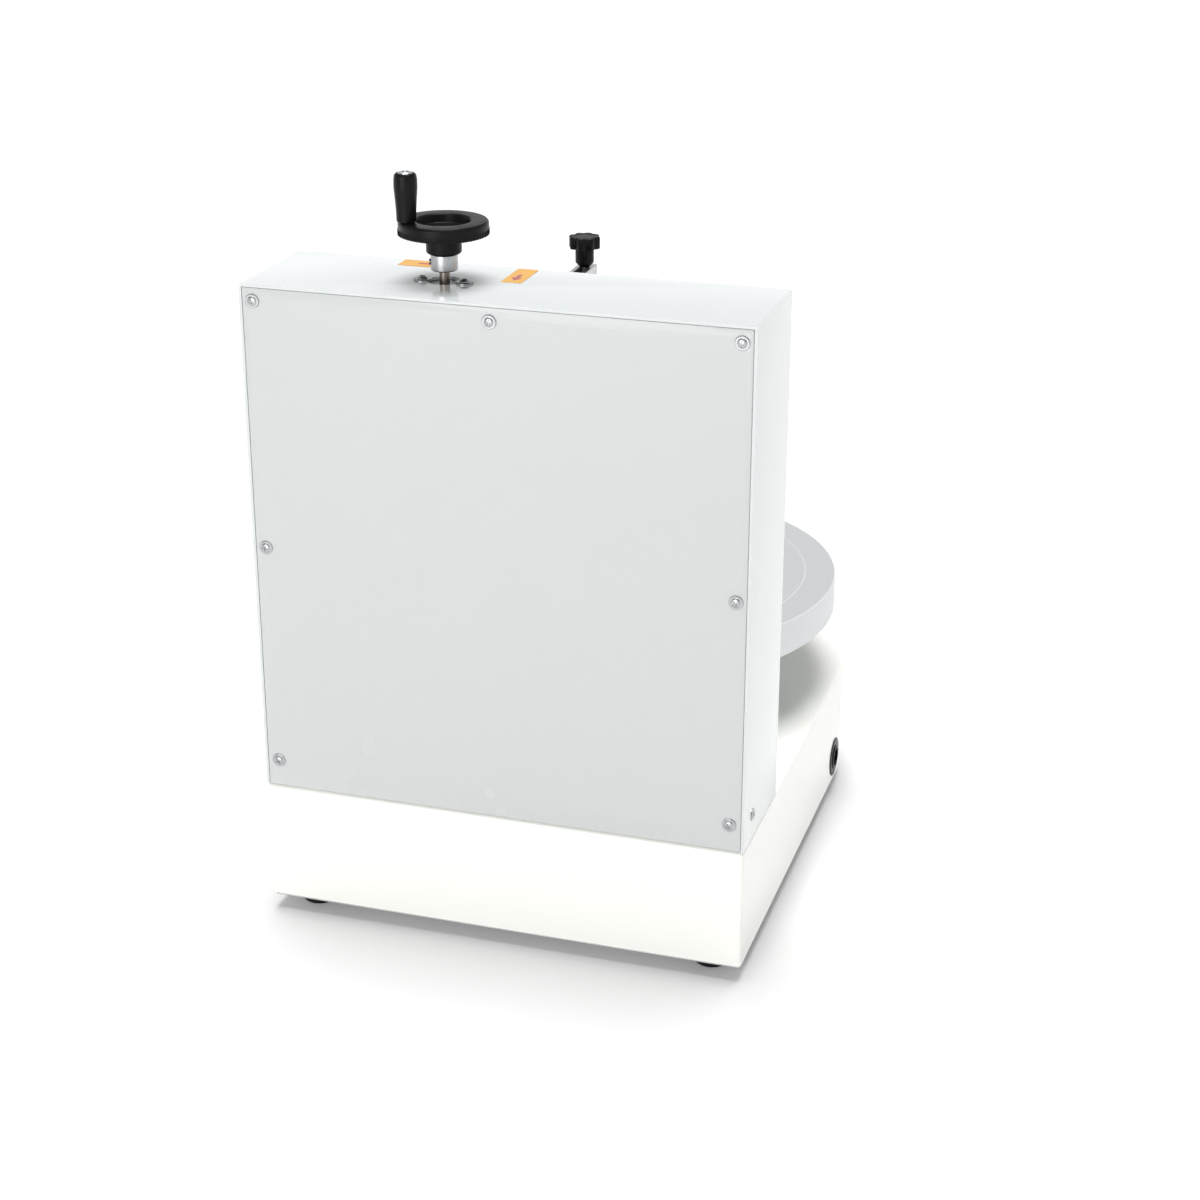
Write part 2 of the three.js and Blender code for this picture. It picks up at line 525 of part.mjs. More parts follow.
// Turntable, spindle and housing, belt drive
function addTurntable() {
  const { radius, top, height, grooveRadius, wall, hub, y } = table;
  const low = top - height;
  const under = top - table.plate;
  const disc = turned([
    [0, low + 2], [hub, low + 2], [hub, under], [radius - wall, under], [radius - wall, low],
    [radius - 1, low], [radius, low + 1], [radius, top - 1.6], [radius - 1.6, top], [grooveRadius + 0.7, top],
    [grooveRadius, top - 0.6], [grooveRadius - 0.7, top], [0, top],
  ], 60);
  add('turntable', along(disc, 0, y), 'aluminium');

  const boss = low + 2 - gap;
  const flangeLow = boss - 6;
  const shape = turned([
    [0, spindle.bottom], [spindle.radius, spindle.bottom], [spindle.radius, flangeLow],
    [spindle.flange, flangeLow], [spindle.flange, boss], [0, boss],
  ], 32);
  add('spindle', along(shape, 0, y), 'steel');

  const seat = base.height + gap;
  const bore = spindle.bearingRadius + gap;
  const { neckRadius, neckTop, housingFlange, lip, ringHeight } = spindle;
  const housing = turnedRing([
    [bore, seat], [housingFlange, seat], [housingFlange, seat + 8],
    [neckRadius + 4, seat + 10], [neckRadius, seat + 18], [neckRadius, neckTop],
    [spindle.radius + lip, neckTop], [spindle.radius + lip, neckTop - lip], [bore, neckTop - lip],
  ], 28);
  add('spindle_housing', along(housing, 0, y), 'aluminium');
  const upperRing = neckTop - lip - gap - ringHeight;
  for (const [name, z0] of [['spindle_bearing_upper', upperRing], ['spindle_bearing_lower', seat + 2]]) {
    const ring = tube(spindle.radius + gap, spindle.bearingRadius, z0, z0 + ringHeight, 24);
    add(name, along(ring, 0, y), 'steel');
  }

  const { pulleyRadius, motorX, motorPulleyRadius, beltBottom, beltWidth, flange, shaftRadius } = drive;
  const beltTop = beltBottom + beltWidth;
  const sheave = (r, hole) => turnedRing([
    [hole, beltBottom - flange], [r + flange, beltBottom - flange], [r + flange, beltBottom - gap],
    [r, beltBottom - gap], [r, beltTop + gap], [r + flange, beltTop + gap],
    [r + flange, beltTop + flange], [hole, beltTop + flange],
  ], 24);
  add('table_pulley', along(sheave(pulleyRadius, spindle.radius + gap), 0, y), 'aluminium');
  add('motor_pulley', along(sheave(motorPulleyRadius, shaftRadius + gap), motorX, y), 'aluminium');

  // Belt: a band with straight runs on the outer tangents of the two pulleys.
  const distance = -motorX;
  const lean = Math.acos((pulleyRadius - motorPulleyRadius) / distance);
  const band = (offset) => {
    const path = new THREE.Shape();
    path.absarc(0, 0, pulleyRadius + offset, lean - Math.PI, Math.PI - lean, false);
    path.absarc(motorX, 0, motorPulleyRadius + offset, Math.PI - lean, Math.PI + lean, false);
    path.closePath();
    return path;
  };
  const loop = band(drive.beltThickness);
  loop.holes.push(band(gap));
  add('drive_belt', along(plate(loop, beltBottom, beltTop, 12), 0, y), 'rubber');

  const { gearboxHalf, gearboxLow, gearboxTop, canRadius, canEnd, footHalf } = motor;
  const gearbox = block(
    motorX - gearboxHalf, motorX + gearboxHalf, y - gearboxHalf, y + gearboxHalf, gearboxLow, gearboxTop,
  );
  const outputShaft = along(bar(shaftRadius, gearboxTop - 12, beltTop + 5, 20), motorX, y);
  const nose = along(bar(15, gearboxTop - 12, gearboxTop + 6, 24), motorX, y);
  const can = toBack(bar(canRadius, gearboxLow, canEnd, 32));
  along(can, motorX, y, (gearboxLow + gearboxTop) / 2);
  const footDepth = 24;
  const mountFoot = block(
    motorX - footHalf, motorX + footHalf, y - footDepth, y + footDepth, gap, gearboxLow + 1,
  );
  add('gear_motor', join(gearbox, outputShaft, nose, can, mountFoot), 'darkSteel');
}

// Controls and electrics
function addControls() {
  const front = -base.depth - gap;
  const face = front - panel.thickness;
  const { low, height } = panel;
  const half = panel.width / 2;
  const sheet = block(-half, half, face, front, low, low + height);
  const { halfWidth, halfHeight, depth } = display;
  const displayHole = frontBlock(display, halfWidth, halfHeight, face - over, front + over);
  const { shaftRadius, bushing, shaftLength } = speedControl;
  const potHole = along(toFront(bar(bushing, -over, over, 20)), speedControl.x, front, speedControl.z);
  const button = rockerSwitch;
  const switchHole = frontBlock(button, button.halfWidth, button.halfHeight, face - over, front + over);
  add('control_panel', cut(sheet, displayHole, potHole, switchHole), 'aluminium');

  const displayBody = join(
    frontBlock(display, halfWidth - gap, halfHeight - gap, face - 0.6, front + depth),
    frontBlock(display, halfWidth + 2, halfHeight + 2, face - 2, face - gap),
  );
  add('speed_display', displayBody, 'glass');

  const pot = join(toBack(bar(12, 3, 22, 24)), toFront(bar(shaftRadius, -5, shaftLength, 20)));
  add('speed_control', along(pot, speedControl.x, front, speedControl.z), 'zinc');
  const { radius, waist, low: dialLow, high: dialHigh } = speedDial;
  const dial = turned([
    [0, dialLow], [radius, dialLow], [radius, dialLow + 2.2], [waist + 0.8, dialLow + 3],
    [waist, dialHigh - 0.8], [waist - 1.2, dialHigh], [0, dialHigh],
  ], 28);
  const shaftHole = bar(shaftRadius + gap, 0, shaftLength + gap, 20);
  const speedKnob = toFront(cut(dial, shaftHole));
  add('speed_knob', along(speedKnob, speedControl.x, front, speedControl.z), 'blackPlastic');

  const bezel = cut(
    join(
      frontBlock(
        button, button.halfWidth - gap, button.halfHeight - gap, face - 0.6, front + button.depth,
      ),
      frontBlock(button, button.halfWidth + 2, button.halfHeight + 2, face - 2.4, face - gap),
    ),
    frontBlock(button, button.halfWidth - 2.5, button.halfHeight - 2, face - over, face + 6),
  );
  add('power_switch', bezel, 'blackPlastic');
  const rocker = new THREE.Shape();
  rocker.moveTo(0, 0);
  rocker.lineTo(-0.5, 5.2);
  rocker.lineTo(-6.2, 4.8);
  rocker.lineTo(-4.8, 0);
  rocker.lineTo(-6.2, -4.8);
  rocker.lineTo(-0.5, -5.2);
  rocker.closePath();
  const paddleLength = 2 * (button.halfWidth - 2.5 - gap);
  const paddle = new THREE.ExtrudeGeometry(rocker, { depth: paddleLength, bevelEnabled: false });
  paddle.translate(0, 0, -paddleLength / 2).rotateX(Math.PI / 2).rotateZ(Math.PI / 2);
  paddle.rotateX(-THREE.MathUtils.degToRad(button.tilt));
  add('power_rocker', along(paddle, button.x, face + 3.5, button.z), 'blackPlastic');

  const { bodyRadius, flangeRadius, flangeProud, proud } = fitting;
  const flange = turned([
    [0, -16], [bodyRadius, -16], [bodyRadius, gap], [flangeRadius, gap],
    [flangeRadius, flangeProud], [bodyRadius, flangeProud], [bodyRadius - 1, proud], [0, proud],
  ], 24);
  const recess = bar(over, -8, over, 12);
  add('power_inlet', along(toLeft(cut(flange, recess)), -width / 2, fitting.y, fitting.z), 'blackPlastic');
  add('pedal_socket', along(toRight(cut(flange, recess)), width / 2, fitting.y, fitting.z), 'blackPlastic');

  const supply = { left: 85, right: 195, front: -245, back: -175, top: 36 };
  add('power_supply', block(supply.left, supply.right, supply.front, supply.back, gap, supply.top), 'zinc');
  const board = { left: -60, right: 62, front: -535, back: -455, low: 6, top: 7.6 };
  const standoff = (x, y) => block(x - 3, x + 3, y - 3, y + 3, gap, board.low + 0.5);
  const inset = 5;
  const relay = block(-50, -30, board.front + inset, -510, board.low + 1, 16);
  const chip = block(-10, 20, -500, -470, board.low + 1, 14);
  const capacitor = along(bar(6, board.low + 1, 16, 20), 45, -480);
  const boardBase = block(board.left, board.right, board.front, board.back, board.low, board.top);
  const standoffs = [
    standoff(board.left + inset, board.front + inset),
    standoff(board.right - inset, board.front + inset),
    standoff(board.left + inset, board.back - inset),
  ];
  add('speed_board', join(boardBase, relay, chip, capacitor, ...standoffs), 'board');
}

addBase();
addColumn();
addLiftFrame();
addScrewAndWheel();
addCarriage();
addTopScraper();
addSideScraper();
addTurntable();
addControls();

const cakeMachine = new THREE.Group();
cakeMachine.add(machine);

export default cakeMachine;
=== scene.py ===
import math

import bmesh
import bpy
from mathutils import Matrix, Vector


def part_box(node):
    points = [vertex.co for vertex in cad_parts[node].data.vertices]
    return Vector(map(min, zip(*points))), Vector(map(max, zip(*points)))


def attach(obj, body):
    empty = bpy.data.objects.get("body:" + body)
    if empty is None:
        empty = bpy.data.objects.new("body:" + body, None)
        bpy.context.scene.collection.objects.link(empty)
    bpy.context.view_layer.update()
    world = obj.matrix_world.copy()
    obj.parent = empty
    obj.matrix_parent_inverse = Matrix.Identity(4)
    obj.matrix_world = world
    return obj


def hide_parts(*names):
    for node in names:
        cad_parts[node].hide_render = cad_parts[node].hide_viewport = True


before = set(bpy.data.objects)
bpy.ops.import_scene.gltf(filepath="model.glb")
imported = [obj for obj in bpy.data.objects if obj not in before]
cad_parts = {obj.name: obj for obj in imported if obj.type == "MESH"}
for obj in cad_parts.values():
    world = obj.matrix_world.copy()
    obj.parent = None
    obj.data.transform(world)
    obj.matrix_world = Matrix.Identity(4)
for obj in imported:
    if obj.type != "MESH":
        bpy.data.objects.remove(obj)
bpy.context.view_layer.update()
mm = 0.001


# ---- where the CAD pieces are

def middle(node):
    low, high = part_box(node)
    return (low + high) / 2


def onAxis(node, z):
    centre = middle(node)
    return Vector((centre.x, centre.y, z))


# The foot of a round node's axis, with its radius and height in millimetres
def turnedSize(node):
    low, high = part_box(node)
    return onAxis(node, low.z), (high.x - low.x) / 2 / mm, (high.z - low.z) / mm


# ---- camera, floor and light

view = {
    "azimuth": 17.2554, "elevation": 22.28, "roll": 0.0933, "lens": 69.637,
    "place": (-0.61893, 1.97827, 1.06969),
}


def makeCamera():
    az, el, roll = (math.radians(view[k]) for k in ("azimuth", "elevation", "roll"))
    back = Vector((-math.sin(az) * math.cos(el), math.cos(az) * math.cos(el), math.sin(el)))
    right = Vector((0, 0, 1)).cross(back).normalized()
    up = back.cross(right)
    turnedRight = right * math.cos(roll) + up * math.sin(roll)
    turnedUp = up * math.cos(roll) - right * math.sin(roll)
    data = bpy.data.cameras.new("camera")
    data.lens = view["lens"]
    camera = bpy.data.objects.new("camera", data)
    bpy.context.scene.collection.objects.link(camera)
    axes = Matrix((turnedRight, turnedUp, back)).transposed().to_4x4()
    camera.matrix_world = Matrix.Translation(view["place"]) @ axes
    bpy.context.scene.camera = camera


lights = {
    "sky": {"colour": (0.985, 0.995, 1, 1), "horizon": 1.0, "above": 0.44, "from": 0.1, "to": 0.34},
    "key": {"from": (0.03, -0.14, 0.95), "spread": 34, "strength": 3.1},
    "rear": {"size": 1.6, "place": (0.5, 2.7, 0.8), "aim": (0, 0.3, 0.2), "power": 24},
}


def makeLight(name, kind, place, aim):
    data = bpy.data.lights.new(name, kind)
    light = bpy.data.objects.new(name, data)
    bpy.context.scene.collection.objects.link(light)
    turn = (Vector(aim) - Vector(place)).to_track_quat("-Z", "Y").to_matrix().to_4x4()
    light.matrix_world = Matrix.Translation(place) @ turn
    return data


# An even sky with a paler band at the horizon, standing in for the studio's backdrop
def makeSky():
    world = bpy.data.worlds.new("studio")
    bpy.context.scene.world = world
    world.use_nodes = True
    nodes, links = world.node_tree.nodes, world.node_tree.links
    sky, background = lights["sky"], nodes["Background"].inputs
    background["Color"].default_value = sky["colour"]
    way, parts, fade = (nodes.new("ShaderNode" + kind) for kind in ("TexCoord", "SeparateXYZ", "MapRange"))
    for socket, value in (
        ("From Min", "from"), ("From Max", "to"), ("To Min", "horizon"), ("To Max", "above"),
    ):
        fade.inputs[socket].default_value = sky[value]
    links.new(way.outputs["Generated"], parts.inputs[0])
    links.new(parts.outputs["Z"], fade.inputs["Value"])
    links.new(fade.outputs["Result"], background["Strength"])


# A soft key from above and a panel at the rear
def makeLights():
    key = makeLight("key", "SUN", lights["key"]["from"], (0, 0, 0))
    key.angle = math.radians(lights["key"]["spread"])
    key.energy = lights["key"]["strength"]
    rear = makeLight("rear", "AREA", lights["rear"]["place"], lights["rear"]["aim"])
    rear.size = lights["rear"]["size"]
    rear.energy = lights["rear"]["power"]
    bpy.context.scene.view_settings.view_transform = "Standard"


# ---- shader writing

class Wire:  # one socket, with the arithmetic that the materials use
    def __init__(self, paint, socket):
        self.paint = paint
        self.socket = socket

    def math(self, operation, other):
        return self.paint.node("Math", {"operation": operation}, {0: self, 1: other})

    def __add__(self, other):
        return self.math("ADD", other)

    def __mul__(self, other):
        return self.math("MULTIPLY", other)

    __radd__ = __add__
    __rmul__ = __mul__


class Paint:  # one material around a Principled shader
    def __init__(self, name, **constants):
        self.material = bpy.data.materials.new(name)
        self.material.use_nodes = True
        self.tree = self.material.node_tree
        self.shader = self.tree.nodes["Principled BSDF"]
        for socket, value in constants.items():
            self.shader.inputs[socket.replace("_", " ")].default_value = value

    def node(self, kind, settings, sockets, out=0):
        made = self.tree.nodes.new("ShaderNode" + kind)
        for key, value in settings.items():
            if key == "stops":
                self.setStops(made.color_ramp, value)
            else:
                setattr(made, key, value)
        for key, value in sockets.items():
            if isinstance(value, Wire):
                self.tree.links.new(value.socket, made.inputs[key])
            else:
                made.inputs[key].default_value = value
        return Wire(self, made.outputs[out])

    def setStops(self, ramp, stops):
        while len(ramp.elements) < len(stops):
            ramp.elements.new(0.5)
        for element, (position, value) in zip(ramp.elements, stops):
            element.position = position
            element.color = (value, value, value, 1)

    def place(self, scale=(1, 1, 1), origin=(0, 0, 0), turn=(0, 0, 0)):
        where = self.node("TexCoord", {}, {}, "Object")
        shifted = self.node("VectorMath", {"operation": "SUBTRACT"}, {0: where, 1: origin})
        return self.node("Mapping", {}, {"Vector": shifted, "Rotation": turn, "Scale": scale})

    def noise(self, where, scale, detail=3, roughness=0.55, distortion=0):
        return self.node("TexNoise", {}, {
            "Vector": where, "Scale": scale, "Detail": detail, "Roughness": roughness,
            "Distortion": distortion,
        }, "Fac")

    def ramp(self, value, *stops):
        return self.node("ValToRGB", {"stops": stops}, {"Fac": value})

    def mix(self, factor, first, second):
        sockets = {0: factor, 6: first, 7: second}
        return self.node("Mix", {"data_type": "RGBA"}, sockets, 2)

    def fresh(self, value, low, high):
        return self.node("MapRange", {}, {"Value": value, "To Min": low, "To Max": high})

    def bump(self, height, distance, strength=1.0, normal=None):
        sockets = {"Height": height, "Distance": distance, "Strength": strength}
        if normal:
            sockets["Normal"] = normal
        return self.node("Bump", {}, sockets)

    def feed(self, **links):
        for socket, value in links.items():
            self.tree.links.new(value.socket, self.shader.inputs[socket.replace("_", " ")])
        return self.material

    # Small round spots, one in each cell
    def speckle(self, where, scale, share):
        cell = self.node("TexVoronoi", {"feature": "F1"}, {"Vector": where, "Scale": scale}, "Distance")
        return self.ramp(cell, (0, 1), (share, 1), (share + 0.02, 0))


def rgb(r, g, b):
    return (r, g, b, 1)


# Powder coat: slight orange peel, faint handling marks and a few dust specks
def enamel(name, colour, shade, peel=0.9, coat=0.5, coatRough=0.06, rough=(0.18, 0.26)):
    p = Paint(name, Coat_Weight=coat, Coat_Roughness=coatRough, Specular_IOR_Level=0.3)
    where = p.place()
    cloud = p.noise(where, 3.2, 4)
    marks = p.ramp(p.noise(where, 11, 3, 0.5), (0.45, 0), (0.85, 1))
    tone = p.mix(p.fresh(cloud, 0.1, 0.9), rgb(*colour), rgb(*shade))
    specks = p.speckle(where, 46, 0.03) * p.ramp(p.noise(where, 9, 2), (0.56, 0), (0.68, 1))
    tone = p.mix(specks * 0.16, tone, rgb(0.42, 0.38, 0.33))
    skin = p.noise(where, 620, 2, 0.5)
    wave = p.noise(where, 26, 2)
    first = p.bump(skin, 0.00004 * peel, 0.5)
    return p.feed(
        Base_Color=tone,
        Roughness=p.fresh(cloud * 0.7 + marks * 0.3, *rough),
        Normal=p.bump(wave, 0.0006 * peel, 0.18, first),
    )


# Moulded black plastic with a fine eroded grain and paler rubbed patches
def blackPlastic(name, gloss=0.34, grain=0.7, tint=0.0045):
    p = Paint(name, Specular_IOR_Level=0.13)
    where = p.place()
    grainNoise = p.noise(where, 1500, 3, 0.6)
    patch = p.ramp(p.noise(where, 38, 5, 0.65), (0.45, 0), (0.8, 1))
    colour = p.mix(patch * 0.35, rgb(tint, tint, tint * 1.2), rgb(tint * 3, tint * 3, tint * 3.1))
    return p.feed(
        Base_Color=colour,
        Roughness=p.fresh(patch * 0.6 + grainNoise * 0.4, gloss - 0.08, gloss + 0.14),
        Normal=p.bump(grainNoise, 0.00006 * grain, 0.55),
    )


def rubber(name):
    p = Paint(name, Specular_IOR_Level=0.15)
    where = p.place()
    grain = p.noise(where, 900, 4, 0.7)
    dust = p.ramp(p.noise(where, 60, 6, 0.7), (0.48, 0), (0.72, 1))
    colour = p.mix(dust * 0.35, rgb(0.008, 0.008, 0.009), rgb(0.04, 0.039, 0.037))
    return p.feed(
        Base_Color=colour,
        Roughness=p.fresh(grain + dust * 0.5, 0.62, 0.9),
        Normal=p.bump(grain, 0.00012, 0.6),
    )


# Zinc plating: cool patches, faint yellow passivation and small scratches
def zinc(name, bright=0.72, rough=0.26):
    p = Paint(name, Metallic=1.0)
    where = p.place()
    cloud = p.noise(where, 130, 5, 0.6)
    warm = p.ramp(p.noise(where, 55, 3, 0.5, 1.2), (0.5, 0), (0.7, 1))
    pale, dull = rgb(bright, bright * 1.02, bright * 1.04), rgb(bright * 0.72, bright * 0.75, bright * 0.78)
    cool = p.mix(cloud, pale, dull)
    colour = p.mix(warm * 0.35, cool, rgb(bright * 0.95, bright * 0.9, bright * 0.72))
    scratch = p.noise(p.place((900, 60, 900), turn=(0.3, 0.5, 0.9)), 1.0, 2)
    return p.feed(
        Base_Color=colour,
        Roughness=p.fresh(cloud * 0.6 + scratch * 0.4, rough - 0.08, rough + 0.16),
        Normal=p.bump(scratch, 0.00003, 0.5),
    )


# Stainless steel brushed along one direction: the noise is drawn out along it
def brushed(name, stretch, colour=(0.66, 0.67, 0.68), rough=0.3, depth=1.0):
    p = Paint(name, Metallic=1.0)
    lines = p.noise(p.place(stretch), 1.0, 4, 0.65)
    cloud = p.noise(p.place(), 14, 4)
    dark = rgb(*(c * 0.74 for c in colour))
    tone = p.mix(p.fresh(lines * 0.7 + cloud * 0.3, 0.0, 1.0), dark, rgb(*colour))
    return p.feed(
        Base_Color=tone,
        Roughness=p.fresh(lines * 0.6 + cloud * 0.4, rough - 0.1, rough + 0.14),
        Normal=p.bump(lines, 0.00003 * depth, 0.6),
    )


# Faced aluminium: rings about the spindle axis, with painted shade on the flat upward faces, which come out
# darker than the rim
def facedAluminium(name, colour, facing, rough, metal):
    p = Paint(name)
    flat = p.place((1, 1, 0), origin=(turntableAxis.x, turntableAxis.y, 0))
    radius = p.node("VectorMath", {"operation": "LENGTH"}, {0: flat}, "Value")
    rings = p.node("TexNoise", {"noise_dimensions": "1D"}, {"W": radius, "Scale": 2400, "Detail": 3}, "Fac")
    broad = p.node("TexNoise", {"noise_dimensions": "1D"}, {"W": radius, "Scale": 190, "Detail": 2}, "Fac")
    cloud = p.noise(p.place(), 5.5, 4)
    up = p.node("SeparateXYZ", {}, {0: p.node("NewGeometry", {}, {}, "Normal")}, "Z")
    # Painted shade: faces pointing up get the colour scaled by `facing`, so the tops read darker than the rim
    paintedTopShade = p.mix(p.ramp(up, (0.75, 0), (0.98, 1)), rgb(*colour), rgb(*(c * facing for c in colour)))
    wear = rings * 0.3 + broad * 0.3 + cloud * 0.4
    tone = p.node("Mix", {"data_type": "RGBA", "blend_type": "MULTIPLY"}, {
        0: 1.0, 6: paintedTopShade, 7: p.mix(wear, rgb(0.93, 0.93, 0.93), rgb(1, 1, 1)),
    }, 2)
    return p.feed(
        Base_Color=tone,
        Metallic=p.fresh(cloud, metal - 0.04, metal + 0.04),
        Roughness=p.fresh(broad * 0.5 + cloud * 0.5, rough - 0.05, rough + 0.08),
        Normal=p.bump(rings, 0.00002, 0.35),
    )


def brass(name):
    p = Paint(name, Metallic=1.0)
    where = p.place()
    stain = p.noise(where, 80, 5, 0.6)
    lines = p.noise(p.place((60, 60, 2600)), 1.0, 2)
    colour = p.mix(stain, rgb(0.72, 0.52, 0.22), rgb(0.45, 0.3, 0.13))
    return p.feed(
        Base_Color=colour,
        Roughness=p.fresh(stain * 0.5 + lines * 0.5, 0.22, 0.45),
        Normal=p.bump(lines, 0.00003, 0.5),
    )


# Dark oiled steel with brown staining
def oiledSteel(name):
    p = Paint(name, Metallic=1.0)
    where = p.place()
    stain = p.noise(where, 70, 6, 0.65, 0.8)
    lines = p.noise(p.place((70, 70, 1800)), 1.0, 3)
    colour = p.mix(p.ramp(stain, (0.35, 0), (0.65, 1)), rgb(0.23, 0.17, 0.12), rgb(0.34, 0.31, 0.28))
    return p.feed(
        Base_Color=colour,
        Roughness=p.fresh(stain * 0.6 + lines * 0.4, 0.2, 0.45),
        Normal=p.bump(lines, 0.00004, 0.5),
    )


def circuitBoard(name):
    p = Paint(name, Coat_Weight=0.4, Coat_Roughness=0.15)
    where = p.place()
    tracks = p.node("TexBrick", {}, {
        "Vector": where, "Scale": 150, "Mortar Size": 0.06,
        "Color1": rgb(1, 1, 1), "Color2": rgb(0.6, 0.6, 0.6), "Mortar": rgb(0, 0, 0),
    })
    pads = p.speckle(where, 220, 0.16)
    green = p.mix(tracks, rgb(0.012, 0.1, 0.045), rgb(0.02, 0.17, 0.075))
    colour = p.mix(pads, green, rgb(0.62, 0.6, 0.52))
    return p.feed(
        Base_Color=colour,
        Roughness=p.fresh(p.noise(where, 50), 0.3, 0.45),
        Normal=p.bump(tracks, 0.00005, 0.6),
    )


def label(name, colour, edge):
    p = Paint(name, Coat_Weight=0.25, Coat_Roughness=0.3)
    where = p.place()
    paper = p.noise(where, 1400, 4, 0.7)
    fade = p.noise(where, 90, 3)
    tone = p.mix(fade * 0.7 + paper * 0.3, colour, edge)
    return p.feed(Base_Color=tone, Roughness=p.fresh(paper, 0.36, 0.55), Normal=p.bump(paper, 0.00002, 0.4))


def smokedWindow(name):
    p = Paint(name, Coat_Weight=1.0, Coat_Roughness=0.03)
    where = p.place()
    haze = p.noise(where, 70, 4)
    colour = p.mix(haze, rgb(0.03, 0.004, 0.004), rgb(0.05, 0.008, 0.007))
    return p.feed(Base_Color=colour, Roughness=p.fresh(haze, 0.1, 0.22))


def litSegment(name):
    p = Paint(name, Emission_Strength=2.2)
    glow = p.noise(p.place(), 700, 2)
    colour = p.mix(glow, rgb(1, 0.06, 0.02), rgb(0.8, 0.03, 0.01))
    return p.feed(Base_Color=colour, Emission_Color=colour, Roughness=p.fresh(glow, 0.3, 0.5))


def studioFloor(name):
    p = Paint(name, Specular_IOR_Level=0.25, Emission_Strength=0.14)
    where = p.place()
    grain = p.noise(where, 40, 4)
    broad = p.noise(where, 1.3, 3)
    colour = p.mix(broad, rgb(0.7, 0.7, 0.7), rgb(0.73, 0.73, 0.725))
    return p.feed(Base_Color=colour, Emission_Color=colour, Roughness=p.fresh(grain, 0.5, 0.62))


turntableAxis = middle("turntable")
paints = {
    "base": enamel("warmEnamel", (0.92, 0.922, 0.88), (0.895, 0.898, 0.855)),
    "column": enamel("coolEnamel", (0.67, 0.693, 0.698), (0.642, 0.665, 0.67), 0.4, 0.7, 0.02, (0.12, 0.18)),
    "cover": enamel("coverEnamel", (0.58, 0.597, 0.588), (0.556, 0.575, 0.567), 1.2, 0.4, 0.12, (0.2, 0.32)),
    "black": blackPlastic("blackPlastic"),
    "blackFine": blackPlastic("blackFinePlastic", 0.3, 0.5),
    "rubber": rubber("footRubber"),
    "zinc": zinc("zincPlate", 0.5),
    "chrome": zinc("brightScrew", 0.72, 0.16),
    "steelY": brushed("steelAlongArm", (900, 26, 900)),
    "steelZ": brushed("steelUpright", (900, 900, 26)),
    "steelX": brushed("steelAcross", (26, 900, 900), rough=0.26),
    "sheet": brushed("floorSheet", (420, 18, 420), (0.6, 0.61, 0.61), 0.4),
    "panel": brushed("panelSheet", (14, 700, 700), (0.72, 0.73, 0.74), 0.34),
    # The fourth number is the painted shade on upward faces: their colour is scaled by it
    "aluminium": facedAluminium("turntableAluminium", (0.77, 0.79, 0.8), 0.63, 0.38, 0.12),
    "machined": facedAluminium("machinedAluminium", (0.62, 0.64, 0.66), 0.95, 0.34, 0.9),
    "brass": brass("turnedBrass"),
    "oiled": oiledSteel("oiledSteel"),
    "board": circuitBoard("circuitBoard"),
    "orange": label("orangeLabel", rgb(0.76, 0.41, 0.07), rgb(0.66, 0.33, 0.05)),
    "arrow": label("arrowInk", rgb(0.42, 0.08, 0.12), rgb(0.34, 0.06, 0.12)),
    "ink": label("panelInk", rgb(0.03, 0.03, 0.035), rgb(0.05, 0.05, 0.055)),
    "window": smokedWindow("smokedWindow"),
    "segment": litSegment("litSegment"),
}
print("materials made")


# ---- mesh building

directions = {
    "Z": Matrix.Identity(3),
    "Y": Matrix(((1, 0, 0), (0, 0, 1), (0, -1, 0))),
    "-Y": Matrix(((1, 0, 0), (0, 0, -1), (0, 1, 0))),
    "X": Matrix(((0, 0, 1), (0, 1, 0), (-1, 0, 0))),
    "-X": Matrix(((0, 0, -1), (0, 1, 0), (1, 0, 0))),
}


def fromBmesh(name, bm):
    mesh = bpy.data.meshes.new(name)
    bm.to_mesh(mesh)
    bm.free()
    made = bpy.data.objects.new(name, mesh)
    bpy.context.scene.collection.objects.link(made)
    return made


def fromFaces(name, verts, faces):
    bm = bmesh.new()
    points = [bm.verts.new(v) for v in verts]
    for face in faces:
        bm.faces.new([points[i] for i in face])
    bmesh.ops.recalc_face_normals(bm, faces=bm.faces)
    return fromBmesh(name, bm)


# Rounds the corners of a profile: each point may carry its own radius as a third number.
def rounded(points, radius, steps=4, closed=False):
    out = []
    count = len(points)
    for i, point in enumerate(points):
        here = Vector(point[:2])
        r = point[2] if len(point) > 2 else radius
        if r <= 0 or (not closed and i in (0, count - 1)):
            out.append(tuple(here))
            continue
        before = Vector(points[i - 1][:2]) - here
        after = Vector(points[(i + 1) % count][:2]) - here
        half = before.angle(after) / 2
        reach = min(r / max(math.tan(half), 1e-3), before.length * 0.46, after.length * 0.46)
        start, end = here + before.normalized() * reach, here + after.normalized() * reach
        for k in range(steps + 1):
            t = k / steps
            out.append(tuple(start * (1 - t) ** 2 + here * 2 * t * (1 - t) + end * t ** 2))
    return out


# A body of revolution. The profile is (radius, height) in millimetres from `at` along `axis`.
def spun(name, profile, at, axis="Z", steps=96):
    closes = profile[0][0] > 1e-6
    turn = directions[axis]
    verts, faces, rows = [], [], []
    for radius, height in profile:
        first = len(verts)
        count = steps if radius > 1e-6 else 1
        rows.append(range(first, first + count))
        for i in range(count):
            angle = 2 * math.pi * i / steps
            local = Vector((radius * math.cos(angle), radius * math.sin(angle), height)) * mm
            verts.append(Vector(at) + turn @ local)
    pairs = list(zip(rows, rows[1:]))
    if closes:
        pairs.append((rows[-1], rows[0]))
    for low, high in pairs:
        for i in range(steps):
            j = (i + 1) % steps
            if len(low) == 1 and len(high) == 1:
                continue
            if len(low) == 1:
                faces.append((low[0], high[j], high[i]))
            elif len(high) == 1:
                faces.append((low[i], low[j], high[0]))
            else:
                faces.append((low[i], low[j], high[j], high[i]))
    return fromFaces(name, verts, faces)


